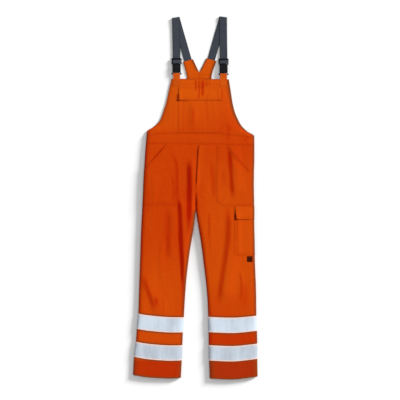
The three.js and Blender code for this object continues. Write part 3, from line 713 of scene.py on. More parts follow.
def sew_over(kind, panel, line, rise, margin, past=np.inf):
    """Stitches over a panel along a line of (x, y) points; rise gives their height above it."""
    line = densely(line)
    u, v = panel.locate(line[:, 0], line[:, 1])
    keep = (u > margin) & (u < 1 - margin) & (v > -past) & (v < 1 + past)
    if keep.sum() < 2:
        return
    points, normals = panel.sample(u[keep], clamp(v[keep]))

    def normals_at(middle):
        at_u, at_v = panel.locate(middle[:, 0], middle[:, 1])
        return panel.sample(clamp(at_u), clamp(at_v))[1]

    sew(kind, points + normals * rise(line[keep]), normals_at)


def sew_on(kind, panel, line, lift):
    """Stitches on a panel itself, all raised by the same lift."""
    sew_over(kind, panel, line, lambda at: lift, 0.004, 0.001)


def finish_stitches(materials):
    """Joins each kind of stitch into one mesh."""
    for kind, batches in THREADS.items():
        vertices, faces, start = [], [], 0
        for corners in batches:
            count, each = corners.shape[:2]
            vertices.append(corners.reshape(-1, 3))
            offsets = start + np.arange(count)[:, None, None] * each
            faces.append((STITCH_FACES[None] + offsets).reshape(-1, 3))
            start += count * each
        material, slot = materials[kind]
        piece = new_object(
            f"stitches_{kind}", np.concatenate(vertices), np.concatenate(faces).tolist(), material, 80
        )
        seat(piece, slot)


# ---------- materials ----------


class Surface:
    """A new material, with short calls that wire its shader. What a call gives is a socket."""

    def __init__(self, name):
        self.material = bpy.data.materials.new(name)
        self.material.use_nodes = True
        self.nodes, self.links = self.material.node_tree.nodes, self.material.node_tree.links

    def feed(self, node, inputs):
        """Each input takes a socket or a plain value."""
        for name, value in inputs.items():
            if isinstance(value, bpy.types.NodeSocket):
                self.links.new(value, node.inputs[name])
            else:
                node.inputs[name].default_value = value

    def add(self, kind, inputs, **settings):
        node = self.nodes.new(f"ShaderNode{kind}")
        for name, value in settings.items():
            setattr(node, name, value)
        self.feed(node, inputs)
        return node

    def place(self, scale=(1, 1, 1), turn=0.0):
        """Coordinates of the piece in metres, scaled and turned about Z."""
        own = self.add("TexCoord", {}).outputs["Object"]
        inputs = {"Vector": own, "Scale": scale, "Rotation": (0, 0, turn)}
        return self.add("Mapping", inputs).outputs["Vector"]

    def attribute(self, name):
        return self.add("Attribute", {}, attribute_name=name).outputs["Fac"]

    def noise(self, vector, scale, detail=3.0, roughness=0.5):
        inputs = {"Vector": vector, "Scale": scale, "Detail": detail, "Roughness": roughness}
        return self.add("TexNoise", inputs).outputs["Fac"]

    def wave(self, vector, per_metre, direction):
        scale = per_metre * math.pi / 20
        inputs = {"Vector": vector, "Scale": scale, "Distortion": 0.6, "Detail": 1.0}
        return self.add("TexWave", inputs, wave_type="BANDS", bands_direction=direction).outputs["Fac"]

    def sum_of(self, *terms, start=0.0):
        """start plus each socket times its share."""
        total = start
        for socket, share in terms:
            node = self.add("Math", {0: socket, 1: share, 2: total}, operation="MULTIPLY_ADD")
            total = node.outputs[0]
        return total

    def ramp(self, factor, *stops):
        node = self.add("ValToRGB", {"Fac": factor})
        elements = node.color_ramp.elements
        while len(elements) < len(stops):
            elements.new(0.5)
        for element, (place, colour) in zip(elements, stops):
            element.position = place
            element.color = (*colour, 1)
        return node.outputs["Color"]

    def turned_to(self, colour, name, other):
        """The colour, turned to another where the attribute of this name says so."""
        inputs = {0: self.attribute(name), 6: colour, 7: (*other, 1)}
        return self.add("Mix", inputs, data_type="RGBA").outputs[2]

    def coat(self, inputs, *bumps):
        """The material, with its shader fed and with bumps: a height and its depth in metres."""
        normal = None
        for height, depth in bumps:
            node = self.add("Bump", {"Height": height, "Distance": depth, "Strength": 1.0})
            if normal:
                self.links.new(normal, node.inputs["Normal"])
            normal = node.outputs["Normal"]
        if normal:
            inputs = {**inputs, "Normal": normal}
        self.feed(self.nodes["Principled BSDF"], inputs)
        return self.material


TWILL_HUES = (0.375, 0.0090, 0.0005), (0.452, 0.0350, 0.0012), (0.535, 0.0730, 0.0024)
TAB_HUES = (0.36, 0.02, 0.002), (0.45, 0.052, 0.004), (0.52, 0.086, 0.0055)
# The first is painted shadow for gaps and under edges; the second is the brown of painted edge shade, which
# also darkens the hems and the tape borders.
IN_SHADE, EDGE_SHADE_BROWN = (0.13, 0.0035, 0.0004), (0.185, 0.040, 0.0075)


def twill(name, grain=62, hues=TWILL_HUES):
    """Orange twill: diagonal ribs, slubs, uneven dye, and a deeper hue where it is sewn; the tone, dark and
    rim attributes it reads also carry painted shade, painted shadow and painted edge shade.
    """
    surface = Surface(name)
    place, turned = surface.place(), surface.place(turn=math.radians(grain))
    stretched = surface.place((1, 0.3, 1))
    cloud, fibre = surface.noise(stretched, 11, 4), surface.noise(stretched, 900, 2)
    slub, mottle = surface.noise(place, 210, 3, 0.6), surface.noise(place, 75, 3, 0.6)
    shade = surface.sum_of(
        (surface.attribute("tone"), 0.5), (cloud, 0.24), (mottle, 0.16), (slub, 0.18), (fibre, 0.09),
        (surface.attribute("seam"), -0.10), start=0.165,
    )
    dyed_and_shaded = surface.ramp(shade, *zip((0.0, 0.5, 1.0), hues))
    return surface.coat({
        "Base Color": surface.turned_to(surface.turned_to(dyed_and_shaded, "dark", IN_SHADE), "rim", EDGE_SHADE_BROWN),
        "Roughness": surface.sum_of((slub, 0.16), (cloud, 0.1), start=0.72),
        "Sheen Weight": 0.06,
        "Sheen Roughness": 0.5,
        "Sheen Tint": (1.0, 0.22, 0.02, 1),
        "Specular IOR Level": 0.12,
        "Specular Tint": (1.0, 0.22, 0.03, 1),
    }, (surface.wave(turned, 1100, "X"), 0.00012), (slub, 0.00022),
        (surface.noise(stretched, 60, 3), 0.0011), (mottle, 0.0006))


def thread(name, colour):
    surface = Surface(name)
    place = surface.place()
    dark = tuple(0.72 * channel for channel in colour)
    return surface.coat({
        "Base Color": surface.ramp(surface.noise(place, 1500, 2), (0.3, dark), (0.7, colour)),
        "Roughness": 0.7,
        "Specular IOR Level": 0.1,
        "Specular Tint": (1.0, 0.4, 0.15, 1),
    }, (surface.wave(place, 1800, "DIAGONAL"), 0.00006))


def reflective(name):
    """Silver tape: a satin cloth full of tiny glass beads, a little creased and scuffed."""
    surface = Surface(name)
    place = surface.place()
    bands, cloud = surface.noise(surface.place((1, 0.12, 1)), 26, 3), surface.noise(place, 14, 4)
    beads = surface.add("TexVoronoi", {"Vector": place, "Scale": 1500}).outputs["Distance"]
    shade = surface.sum_of(
        (surface.attribute("tone"), 0.5), (bands, 0.8), (cloud, 0.4), (beads, -0.1),
        (surface.attribute("seam"), -0.3), start=-0.07,
    )
    silver = surface.ramp(
        shade, (0.0, (0.33, 0.36, 0.41)), (0.5, (0.54, 0.615, 0.70)), (1.0, (0.66, 0.75, 0.84))
    )
    return surface.coat({
        "Base Color": surface.turned_to(silver, "rim", (0.88, 0.60, 0.52)),
        "Roughness": 0.42,
        "Metallic": 0.15,
        "Sheen Weight": 0.1,
    }, (beads, 0.00008), (cloud, 0.0009))


def webbing(name):
    """Grey elastic webbing: ribs along it, picks across it."""
    surface = Surface(name)
    weave = surface.add("UVMap", {}, uv_map="weave").outputs["UV"]
    ribs, picks = surface.wave(weave, 0.45, "X"), surface.wave(weave, 0.9, "Y")
    cloud = surface.noise(surface.place(), 40, 4)
    shade = surface.sum_of(
        (surface.attribute("tone"), 0.5), (ribs, 0.22), (picks, 0.08), (cloud, 0.3),
        (surface.attribute("seam"), -0.4), start=0.2,
    )
    return surface.coat({
        "Base Color": surface.ramp(
            shade, (0.0, (0.010, 0.012, 0.018)), (0.5, (0.026, 0.031, 0.042)), (1.0, (0.050, 0.057, 0.073))
        ),
        "Roughness": 0.72,
        "Specular IOR Level": 0.15,
        "Sheen Weight": 0.06,
        "Sheen Tint": (0.6, 0.7, 0.9, 1),
    }, (ribs, 0.00035), (picks, 0.0001))


def plastic(name):
    """Black moulded plastic: glossy, with a fine grain and a few faint scuffs."""
    surface = Surface(name)
    grain = surface.noise(surface.place(), 900, 3)
    scuffs = surface.noise(surface.place((1, 5, 1)), 60, 4, 0.7)
    return surface.coat({
        "Base Color": surface.ramp(scuffs, (0.35, (0.003, 0.003, 0.0045)), (0.75, (0.007, 0.0065, 0.009))),
        "Roughness": surface.sum_of((scuffs, 0.25), (grain, 0.08), start=0.2),
        "Specular IOR Level": 0.13,
    }, (grain, 0.00004))


def label_cloth(name):
    """Black woven tab with nothing on it."""
    surface = Surface(name)
    place = surface.place()
    weft = surface.wave(place, 900, "Y")
    shade = surface.sum_of((weft, 0.4), (surface.noise(place, 120, 3), 0.6))
    return surface.coat({
        "Base Color": surface.ramp(shade, (0.2, (0.028, 0.0025, 0.0006)), (0.8, (0.052, 0.006, 0.0012))),
        "Roughness": 0.6,
        "Specular IOR Level": 0.1,
        "Specular Tint": (1.0, 0.3, 0.12, 1),
    }, (weft, 0.0001))


TWILL, LINING, WORN = twill("twill"), twill("twill_across", -28), twill("twill_worn", -28, TAB_HUES)
TAPE, WEBBING = reflective("reflective"), webbing("webbing")
PLASTIC, LABEL = plastic("buckle"), label_cloth("label")
THREAD, PALE_THREAD = thread("thread", (0.40, 0.026, 0.001)), thread("pale_thread", (0.42, 0.44, 0.47))
DARK_THREAD = thread("dark_thread", (0.02, 0.02, 0.023))


# ---------- tone of the dye, and painted light and shade on the garment ---
# Painted fold shade: soft streaks of deeper hue in the folds and under pocket mouths, like the table of
# folds: depth, width to the left and to the right, length over which the ends run out, and the points along
# the streak.
FOLD_SHADE_STREAKS = [
    (1.2, 22, 16, 110, [(-24, 200), (-25, 120), (-25, 20), (-25, -60), (-29, -175)]),
    (0.5, 30, 12, 60, [(-30, 60), (-27, -20), (-30, -120)]),
    (1.2, 17, 13, 50, [
        (-77, 12), (-70, -60), (-68, -130), (-66, -200), (-60, -290), (-57, -350), (-52, -470), (-54, -560),
    ]),
    (0.5, 26, 14, 60, [(-64, -110), (-62, -220), (-56, -330)]),
    (0.95, 20, 13, 70, [(143, 244), (156, 205), (163, 123), (169, 38), (172, -20)]),
    (0.72, 24, 15, 80, [(146, -20), (154, -130), (151, -192), (135, -300), (116, -425), (108, -500)]),
    (0.45, 22, 18, 70, [(-128, -30), (-124, -150), (-121, -290)]),
    (0.50, 18, 14, 60, [(70, 180), (83, 60), (84, -20)]),
    (0.75, 20, 13, 60, [(-238, -340), (-216, -420), (-200, -470), (-187, -530)]),
    (0.85, 20, 18, 34, [(-181, -440), (-178, -512)]),
    (0.55, 16, 14, 60, [(-96, 210), (-84, 130), (-84, 40), (-88, -30)]),
    (0.40, 12, 10, 40, [(-106, 120), (-98, 30), (-104, -30)]),
    (0.45, 12, 10, 60, [(-11, 440), (-11, 360), (-14, 300)]),
    (0.25, 10, 9, 50, [(50, 480), (54, 400), (56, 320)]),
    (0.40, 16, 14, 40, [(152, 350), (153, 300), (149, 250)]),
    (0.40, 8, 8, 20, [(214, 262), (246, 283)]),
    (0.40, 8, 8, 20, [(212, 254), (246, 274)]),
    (0.90, 9, 7, 20, [(2, 546), (3, 500), (4, 478)]),
    (1.10, 8, 7, 20, [(18, 546), (19, 497), (13, 445)]),
    (1.50, 12, 10, 26, [(34, 548), (35, 500), (33, 455)]),
    (0.80, 7, 6, 16, [(52, 546), (53, 503)]),
    (0.55, 8, 7, 16, [(66, 543), (66, 508)]),
    (0.55, 7, 6, 14, [(57, 486), (58, 454)]),
    (0.35, 24, 24, 50, [(128, 150), (130, 90), (132, 30)]),
    (0.40, 30, 26, 60, [(226, -360), (228, -450), (226, -520)]),
    (1.10, 5.5, 5, 26, [(-204, 164), (-135, 243)]),
    (0.50, 5.5, 5, 24, [(168, 214), (221, 154), (252, 117)]),
    (0.35, 9, 8, 20, [(103, 506), (103, 452)]),
    (0.45, 9, 8, 20, [(121, 506), (121, 448)]),
    (0.45, 10, 8, 30, [(60, -196), (66, -120), (60, -60)]),
    (0.30, 14, 12, 40, [(-216, 60), (-214, -20), (-222, -90)]),
    (0.35, 12, 10, 30, [(206, -330), (214, -400), (208, -480)]),
]
# Places that hardly any light reaches, under edges and in gaps, in the same way.
DARK_PLACES = [
    (0.45, 1.8, [(-78.5, 500), (-79, 474)]),
    (0.90, 4.8, [(-80, 470), (-80, 445)]),
    (0.50, 3.0, [(-86, 446), (-40, 445)]),
    (0.30, 2.8, [(-40, 445), (122, 446)]),
    (0.85, 2.4, [(183, -56), (183, -76)]),
    (1.00, 4.6, [(182, -78), (182, -99)]),
    (0.60, 2.6, [(180, -100.5), (246, -100)]),
    (0.25, 2.2, [(-200, 166), (-135, 241)]),
    (0.60, 3.6, [(11, 225), (7.5, 140), (4.5, 70)]),
    (0.30, 2.2, [(13.5, 238), (3.5, 44)]),
    (0.30, 3.0, [(11, 22), (4, -28)]),
]


def beside(x, y, rows):
    """The sum, over the rows of a table, of depth times a soft bell round the row's line."""
    total = np.zeros(np.broadcast(x, y).shape)
    places = np.stack(np.broadcast_arrays(x, y), -1)
    for depth, half_width, line in rows:
        total = total + depth * closeness(places, [line], half_width)
    return total


DARKER_BELOW = -742  # the hems are darker and browner below this
crease_shade = ridges(FOLD_SHADE_STREAKS)


# Painted shadow under edges and in gaps, from the table of dark places.
def front_painted_shadow(x, y):
    return clamp(beside(x, y, DARK_PLACES))


def front_tone_and_shade(x, y):
    """Uneven tone: painted light makes the top and the right leg brighter, painted shade darkens the
    right-hand edges and the folds, and the hems are darker.
    """
    # On the bib: lighter left of its pocket, and painted shade towards its right side.
    beside_pocket = 0.15 * (x < -60) - 0.25 * smooth((x - 110) / 40)
    # Painted light: the garment is brighter towards its top.
    top = 0.75 * smooth((y - 200) / 330) + smooth((y - 290) / 40) * beside_pocket
    # Painted light: the right leg is brighter.
    right = 0.32 * smooth(x / 60) * smooth((230 - y) / 160) * smooth((y + 560) / 200)
    shin = mix(0.36, 0.12, smooth((x + 20) / 40)) * smooth((-y - 180) / 200)
    hem = -1.0 * smooth((DARKER_BELOW - y) / 6)
    band = -0.55 * (x > 0) * smooth((-y - 610) / 8) * smooth((y + 690) / 8)
    inner_edge = section[INNER_LEFT](y)
    # Painted shade along the right-hand edges, which round away from the light.
    rounded = bell(section[SIDE_RIGHT](y) - x, 17) * (y < waist_seam(x))
    rounded = rounded + bell(inner_edge - x, 14) * (x < inner_edge + 1) * smooth((CROTCH - y) / 40)
    return 0.1 + top + right + shin + hem + band - 0.28 * rounded - crease_shade(x, y)


# ---------- panels ----------


def double_hem(y, hem):
    """The cloth is three layers thick in the turned hem."""
    return 1.1 * smooth((hem + HEM_TURN - y) / 2.5)


def leg_browning(x, y, v, hem, inner, outer):
    """Where a leg is browned: beside the tapes and over its hem, most at the hem's corners, and along its
    bottom edge as painted edge shade.
    """
    height = v * (WAIST - LOWEST) + LOWEST
    tape_edges = [edge for edges in TAPES.values() for edge in edges]
    beside_tape = edge_darkening(np.min([np.abs(height - edge) for edge in tape_edges], axis=0), 5)
    corner = bell(np.minimum(np.abs(x - inner(y)), np.abs(x - outer(y))), 16)
    turned = smooth((DARKER_BELOW - y) / 6) * (mix(0.08, 0.30, x > 0) + 0.5 * corner)
    return np.max([beside_tape, turned, 0.95 * bell(np.maximum(y - hem(x) - 3, 0), 6)], axis=0)


FRONT_COLUMNS, BACK_COLUMNS = columns_for(9, 190, 3.3), columns_for(5, 210, 6.0)


def leg_lines(side):
    """Rows of stitches at the side seam, the inseam, the inseam behind, the hem and the waist."""
    hem, inner, outer = leg_edges(side)
    inward = 1 if side == "left" else -1
    levels = np.linspace(LOWEST + 4, WAIST - 4, 60)
    over_hem = np.linspace(*sorted((inner(LOWEST), outer(LOWEST))), 24)
    over_waist = np.linspace(*sorted((inner(WAIST), outer(WAIST))), 24)
    return (
        [(outer(at) + inward * 5, at) for at in levels],
        [(inner(at) - inward * 3.5, at) for at in levels],
        [(inner(at) - inward * 10, at) for at in levels],
        [(at, float(hem(at)) + HEM_TURN - 2) for at in over_hem],
        [(at, float(waist_seam(at)) - 3) for at in over_waist],
    )


def make_front_leg(side):
    hem, inner, outer = leg_edges(side)
    u, v = np.meshgrid(FRONT_COLUMNS, rows_between(WAIST - LOWEST, 4.0))
    points, normals = FRONTS[side].sample(u, v)
    x, y = points[..., 0], points[..., 1]
    at_side, at_inseam, _, at_hem, at_waist = leg_lines(side)
    lines = [at_side, at_inseam, at_hem, at_waist]
    # Painted edge shade along the side seam, and along the inseam below the crotch.
    free = smooth((CROTCH - y) / 30)
    shaded_sides = painted_edge_shade(points, 0.6, free) if side == "left" else painted_edge_shade(points, 0.6 * free, 1.0)
    cloth(
        f"cloth_front_leg_{side}", points, normals, -CLOTH - double_hem(y, hem(x)), 0, TWILL, "twill",
        f"front_leg_{side}", [f"back_leg_{side}"], front_tone_and_shade(x, y), lines,
        dark=front_painted_shadow(x, y), rim=np.maximum(shaded_sides, leg_browning(x, y, v, hem, inner, outer)),
    )
    for line in lines:
        sew_on("twill", FRONTS[side], line, 0.0)


def make_back_leg(side):
    hem, inner, outer = leg_edges(side)
    u, v = np.meshgrid(BACK_COLUMNS, rows_between(WAIST - LOWEST, 6.5))
    points, normals = BACKS[side].sample(u, v)
    x, y = points[..., 0], points[..., 1]
    _, _, behind, at_hem, at_waist = leg_lines(side)
    tone = 0.05 - 0.9 * smooth((-y - 740) / 26)
    cloth(
        f"cloth_back_leg_{side}", points, normals, -CLOTH - double_hem(y, hem(x)), 0, TWILL, "twill",
        f"back_leg_{side}", [], tone, [at_hem, at_waist], rim=leg_browning(x, y, v, hem, inner, outer),
    )
    for line in (at_hem, at_waist, behind):
        sew_on("twill", BACKS[side], line, 0.0)


def make_tapes(side):
    """Each tape lies loosely on the front and close to the back, with a row of stitches at each edge."""
    whole = WAIST - LOWEST
    inset = 3 / whole
    front = 1 - FRONT_COLUMNS[::-1] if side == "left" else FRONT_COLUMNS
    columns = np.concatenate([front, 2 - BACK_COLUMNS[-2::-1]])
    for name, (low, high) in TAPES.items():
        shares = (rows_between(high - low, 3.6) * (high - low) + low - LOWEST) / whole
        w, v = np.meshgrid(columns, shares)
        points, normals = Around(side).sample(w, v)
        x, y = points[..., 0], points[..., 1]
        from_edge = np.minimum(v - v.min(), v.max() - v) * whole
        ripple = 0.5 * pucker_noise(x / 11, y / 60 + w) * bell(from_edge - 4, 10)
        lift = np.where(w < 1, GAP + 0.15 + clamp(ripple + 0.3), GAP)
        edges = [
            [tuple(p[:2]) for p in FRONTS[side].point(np.linspace(0, 1, 40), share)]
            for share in (v.min() + inset, v.max() - inset)
        ]
        cloth(
            f"tape_{name}_{side}_laid", points, normals, lift, lift + FINE, TAPE, "reflective",
            f"tape_{name}_{side}", [f"cloth_front_leg_{side}", f"cloth_back_leg_{side}"],
            0.0 if name == "upper" else -0.36, edges, rim=0.95 * bell(np.maximum(from_edge - 2, 0), 3),
        )
        for line in edges:
            sew_on("tape", FRONTS[side], line, GAP + 0.45 + FINE)
            sew_on("tape", BACKS[side], line, GAP + FINE)


def make_legs():
    for side in ("left", "right"):
        make_front_leg(side)
        make_back_leg(side)
        make_tapes(side)


def make_waistbands():
    at = np.linspace(-230, 270, 60)
    lines = [[(a, float(waist_seam(a)) + 3) for a in at], [(a, float(bib_seam(a)) - 3) for a in at]]
    for name, panel, rests_on in (
        ("front_waistband", BAND, ["back_waistband"]),
        ("back_waistband", BACK_BAND, []),
    ):
        u, v = np.meshgrid(columns_for(8, 450, 3.6), rows_between(36, 3.6, (1.2, 3.0)))
        points, normals = panel.sample(u, v)
        is_front = panel is BAND
        # The front band takes the fronts' painted light and shade, and painted edge shade at its ends.
        tone = front_tone_and_shade(points[..., 0], points[..., 1]) if is_front else 0.05
        cloth(
            f"cloth_{name}", points, normals, -DOUBLE, 0, LINING, "twill", name, rests_on, tone, lines,
            rim=painted_edge_shade(points) if is_front else 0.0,
        )
        for line in lines:
            sew_on("twill", panel, line, 0.0)


def make_bib():
    u, v = np.meshgrid(columns_for(14, 180, 3.0), rows_between(256, 3.2))
    points, normals = BIB.sample(u, v)
    x, y = points[..., 0], points[..., 1]
    shares = np.linspace(0.03, 0.985, 60)
    height = lambda at, share: mix(float(bib_seam(at)), float(bib_top(at)), share)
    lines = []
    for inset in (3.5, 11):
        lines.append([(bib_left(s) + inset, height(bib_left(s) + inset, s)) for s in shares])
        lines.append([(bib_right(s) - inset, height(bib_right(s) - inset, s)) for s in shares])
    for drop in (3, 24):
        lines.append([(at, float(bib_top(at)) - drop) for at in np.linspace(-108, 153, 30)])
    lines.append([(at, float(bib_seam(at)) + 3) for at in np.linspace(-222, 268, 40)])
    # Painted shade along the bib's right edge, and painted edge shade at its sides and along its top edge.
    tone = front_tone_and_shade(x, y) - 0.1 * bell(side_distances(points)[1], 15)
    cloth(
        "cloth_bib_front", points, normals, -CLOTH, 0, TWILL, "twill", "bib_front",
        ["back_yoke_left", "back_yoke_right"], tone, lines,
        dark=front_painted_shadow(x, y), rim=np.maximum(painted_edge_shade(points, reach=9), 0.5 * bell(y - bib_top(x), 3.5)),
    )
    for line in lines:
        sew_on("twill", BIB, line, 0.0)


# ---------- the back yoke ----------
YOKES = {
    "left": (-214, [(-186, 322), (-146, 352), (-92, 400), (-55, 470), (-39, 548)]),
    "right": (258, [(226, 302), (184, 330), (128, 385), (92, 460), (74.5, 548)]),
}
NOTCH = 575
FREE_FROM = 556  # above this the arms are free of the bib and a little fuller
STRAPS = {
    "left": dict(buckle=-86, top=640.9, fold=(-90, 828.2), arm=(-33.4, 629.9)),
    "right": dict(buckle=129.5, top=638.8, fold=(128, 830.75), arm=(73, 634)),
}


def make_yokes():
    for side, (corner, hollow) in YOKES.items():
        outward = np.sign(corner)
        strap = STRAPS[side]
        arm, fold = np.array(strap["arm"]), np.array(strap["fold"])
        upward = unit(fold - arm)
        aside = np.array([upward[1], -upward[0]]) * outward * ARM_WIDTH / 2
        seam = CENTRE_BACK + outward * GAP / 2
        base = lambda x: float(bib_seam(x)) + GAP / 2
        curve = across([(corner, base(corner)), *hollow, tuple(arm + aside)])
        heights = np.linspace(base(corner), (arm + aside)[1], 120)
        outer = evenly([(curve(y), y) for y in heights], 130)
        inner = evenly([(seam, base(seam)), (seam, NOTCH), tuple(arm - aside)], 130)
        s = np.linspace(0, 1, 34)[None, :, None]
        # The lowest row is straight and the seam is curved, so it runs into the back waistband there.
        xy = mix(inner[:, None], outer[:, None], s)
        if side == "left":
            xy = xy[:, ::-1]
        x, y = xy[..., 0], xy[..., 1]
        points = np.stack([x, y, np.zeros_like(x)], -1)
        normals = np.zeros_like(points)
        normals[..., 2] = 1
        free = smooth((y - FREE_FROM) / 18)
        to_edges = [np.linalg.norm(xy - edge[:, None], axis=-1) for edge in (outer, inner)]
        rim = np.minimum(*to_edges)
        top = CLOTH + free * (0.9 + 0.9 * rounding(rim, 12) + 0.35 * quick_noise(x / 20, y / 26))
        edge = lambda points, inset: [tuple(p) for p in points + leftward(points) * outward * inset]
        lines = [edge(outer, 3.5), edge(outer, 10), edge(inner, -3.5)]
        for below in (5, 17):
            end = arm - upward * below
            lines.append([tuple(end - aside * 0.9), tuple(end + aside * 0.9)])
        # Painted light: the arms are brighter above the bib.
        tone = 0.05 + 0.85 * smooth((y - 530) / 30)
        parted_at = smooth((y - NOTCH) / 12)
        # Painted edge shade at the sides of the free arms, and painted shade along their right edges.
        shaded_arm_sides = painted_edge_shade(points, 0.7, parted_at) if side == "left" else painted_edge_shade(points, parted_at, 1.0)
        tone = tone - 0.2 * bell(side_distances(points)[1], 12) * parted_at
        cloth(
            f"cloth_back_yoke_{side}", points, normals, 0.0, top, TWILL, "twill", f"back_yoke_{side}", [],
            tone, lines, rim=shaded_arm_sides * smooth((y - 500) / 40),
        )
        for line in lines:
            for face in (1, -1):
                flat_stitches(line, face)


def flat_stitches(line, face):
    """Stitches on the level yoke, on its upper or its lower face."""
    line = np.asarray(line, float)
    upper = CLOTH + 1.65 * smooth((line[:, 1] - FREE_FROM) / 18)
    z = upper if face > 0 else np.zeros(len(line))
    path = np.column_stack([line, z])
    sew("twill", path, lambda middle: np.tile([0.0, 0.0, float(face)], (len(middle), 1)))


# ---------- pieces sewn on ----------


def side_edge_shade(x, y):
    """The same painted edge shade on pieces that reach a leg's side seam."""
    shaded_sides = np.maximum(0.6 * edge_darkening(x - section[SIDE_LEFT](y), 4.4), edge_darkening(section[SIDE_RIGHT](y) - x))
    return shaded_sides * (y < waist_seam(x))


def patch(name, node_name, panel, low, high, left, right, lift, thick=FINE, step=3.0, tone=0.0,
          lines=(), material=TWILL, slot="twill", rests_on=(), thread_kind="twill"):
    """A piece that lies on a panel between two heights and two edges, given as X by Y."""
    y = cells(low, high, step)
    width = np.max(right(y) - left(y))
    s = np.linspace(0, 1, max(int(width / step), 3) + 1)
    u_left, u_right = [panel.locate(edge(y), y)[0][:, None] for edge in (left, right)]
    u = mix(u_left, u_right, s[None])
    v = panel.level_row(u, y[:, None] + 0 * u)
    points, normals = panel.sample(clamp(u), clamp(v))
    x, yy = points[..., 0], points[..., 1]
    share = clamp((yy - low) / (high - low))
    raise_by = lift(s[None] + 0 * x, share, x, yy) - 0.18 * closeness(points, lines, 2.5)
    raise_by = np.maximum(raise_by, NEAR)
    cloth(
        name, points, normals, raise_by, raise_by + thick, material, slot, node_name, list(rests_on),
        front_tone_and_shade(x, yy) + tone, lines, dark=front_painted_shadow(x, yy), rim=side_edge_shade(x, yy),
    )
    for line in lines:
        stitch_on_patch(panel, line, points, raise_by + thick, thread_kind)


def stitch_on_patch(panel, line, points, top, kind):
    """Stitches at the height of the patch's upper face, read from its nearest point."""
    flat = points[..., :2].reshape(-1, 2)

    def rise(at):
        near = np.array([np.argmin(((flat - p) ** 2).sum(1)) for p in at])
        return top.reshape(-1)[near][:, None]

    sew_over(kind, panel, line, rise, 0.003)


def hip_lift(from_mouth, opened, low):
    """A hip pocket is full in its middle, and its mouth stands open above a height."""

    def lift(s, t, x, y):
        gape = opened * bell(from_mouth(x, y), 9) * smooth((y - low) / 30)
        return NEAR + 0.9 * arch(s) * arch(t, 0.5) + gape

    return lift


def hip_lines(mouth, edge, bottom, upright, second=9):
    """Double rows of stitches along the mouth, the inner edge and the bottom, and a bar."""
    pairs = [(mouth, -3), (mouth, -10), (edge, 2.5), (edge, second), (bottom, 2.5), (bottom, 9)]
    return [*(inset_line(*pair) for pair in pairs), upright]


def make_hip_pocket_left():
    inner = [(-88, -34.5), (-78, -18), (-74, 37), (-78, 106), (-83, 152), (-101, 198), (-119, 244)]
    opening = straight([(-133, 245), (-202, 166), (-225, 138), (-320, 40), (-320, -60)])
    left = lambda y: np.maximum(opening(y), section[SIDE_LEFT](y) + 0.01)
    upper = across(inner[1:])
    right = lambda y: np.where(y < -18, np.interp(y, [-34.5, -18], [-88, -78]), upper(y))
    lines = hip_lines(
        [(-222, 142), (-202, 166), (-134, 243)], [(float(right(y)), y) for y in np.linspace(-34, 243, 40)],
        [(-246, -34.5), (-88, -34.5)], [(-223, 141), (-223, -32)],
    )
    from_mouth = lambda x, y: np.abs((x + 202) * 0.753 - (y - 166) * 0.658)
    patch(
        "cloth_hip_pocket_left", "hip_pocket_left", FRONTS["left"], -34.5, 244.5, left, right,
        hip_lift(from_mouth, 1.9, 120), lines=lines, rests_on=["front_leg_left"], tone=-0.02,
    )


def make_hip_pocket_right():
    left = lambda y: np.where(y < -16, np.interp(y, [-38.2, -16], [128, 99]), 99.0)
    opening = straight([(152, 242), (184, 189), (221, 152), (253, 115), (320, 60), (320, -60)])
    right = lambda y: np.minimum(opening(y), section[SIDE_RIGHT](y) - 0.01)
    lines = hip_lines(
        [(152, 241), (184, 189), (221, 152), (252, 116)], [(99, 240), (99, -16), (128, -38.2)],
        [(128, -38.2), (270, -38.2)], [(250, 184), (250, 129), (250, -34)], 9.5,
    )
    patch(
        "cloth_hip_pocket_right", "hip_pocket_right", FRONTS["right"], -38.2, 241.5, left, right,
        hip_lift(lambda x, y: np.abs(x - right(y)), 1.6, 110), lines=lines, rests_on=["front_leg_right"],
        tone=0.02,
    )


def make_fly():
    edge = across([(17.3, 241.5), (11.8, 180), (6.8, 120), (3.4, 60), (2.6, 36)])
    toe, bulge, side = np.array([(2.6, 36), (34, 42), (44, 90)])
    t = np.linspace(0, 1, 20)[:, None]
    bend = (1 - t) ** 2 * toe + 2 * t * (1 - t) * bulge + t * t * side
    curve = [*map(tuple, bend), (56, 241.5)]
    lines = [
        inset_line([(edge(y), y) for y in np.linspace(44, 240, 30)], -2.5),
        inset_line(curve, 2.5), inset_line(curve, 8.5),
        [(33, 92), (41, 92)], [(18, 47), (23, 44)],
    ]

    def lift(s, t, x, y):
        return NEAR + 1.8 * bell(s * 30, 9) * smooth((y - 40) / 60)

    patch(
        "cloth_fly_flap", "fly_flap", FRONTS["right"], 36, 241.5, lambda y: edge(y) + 0.2, straight(curve),
        lift, lines=lines, rests_on=["front_leg_right"], tone=0.14, step=2.5,
    )


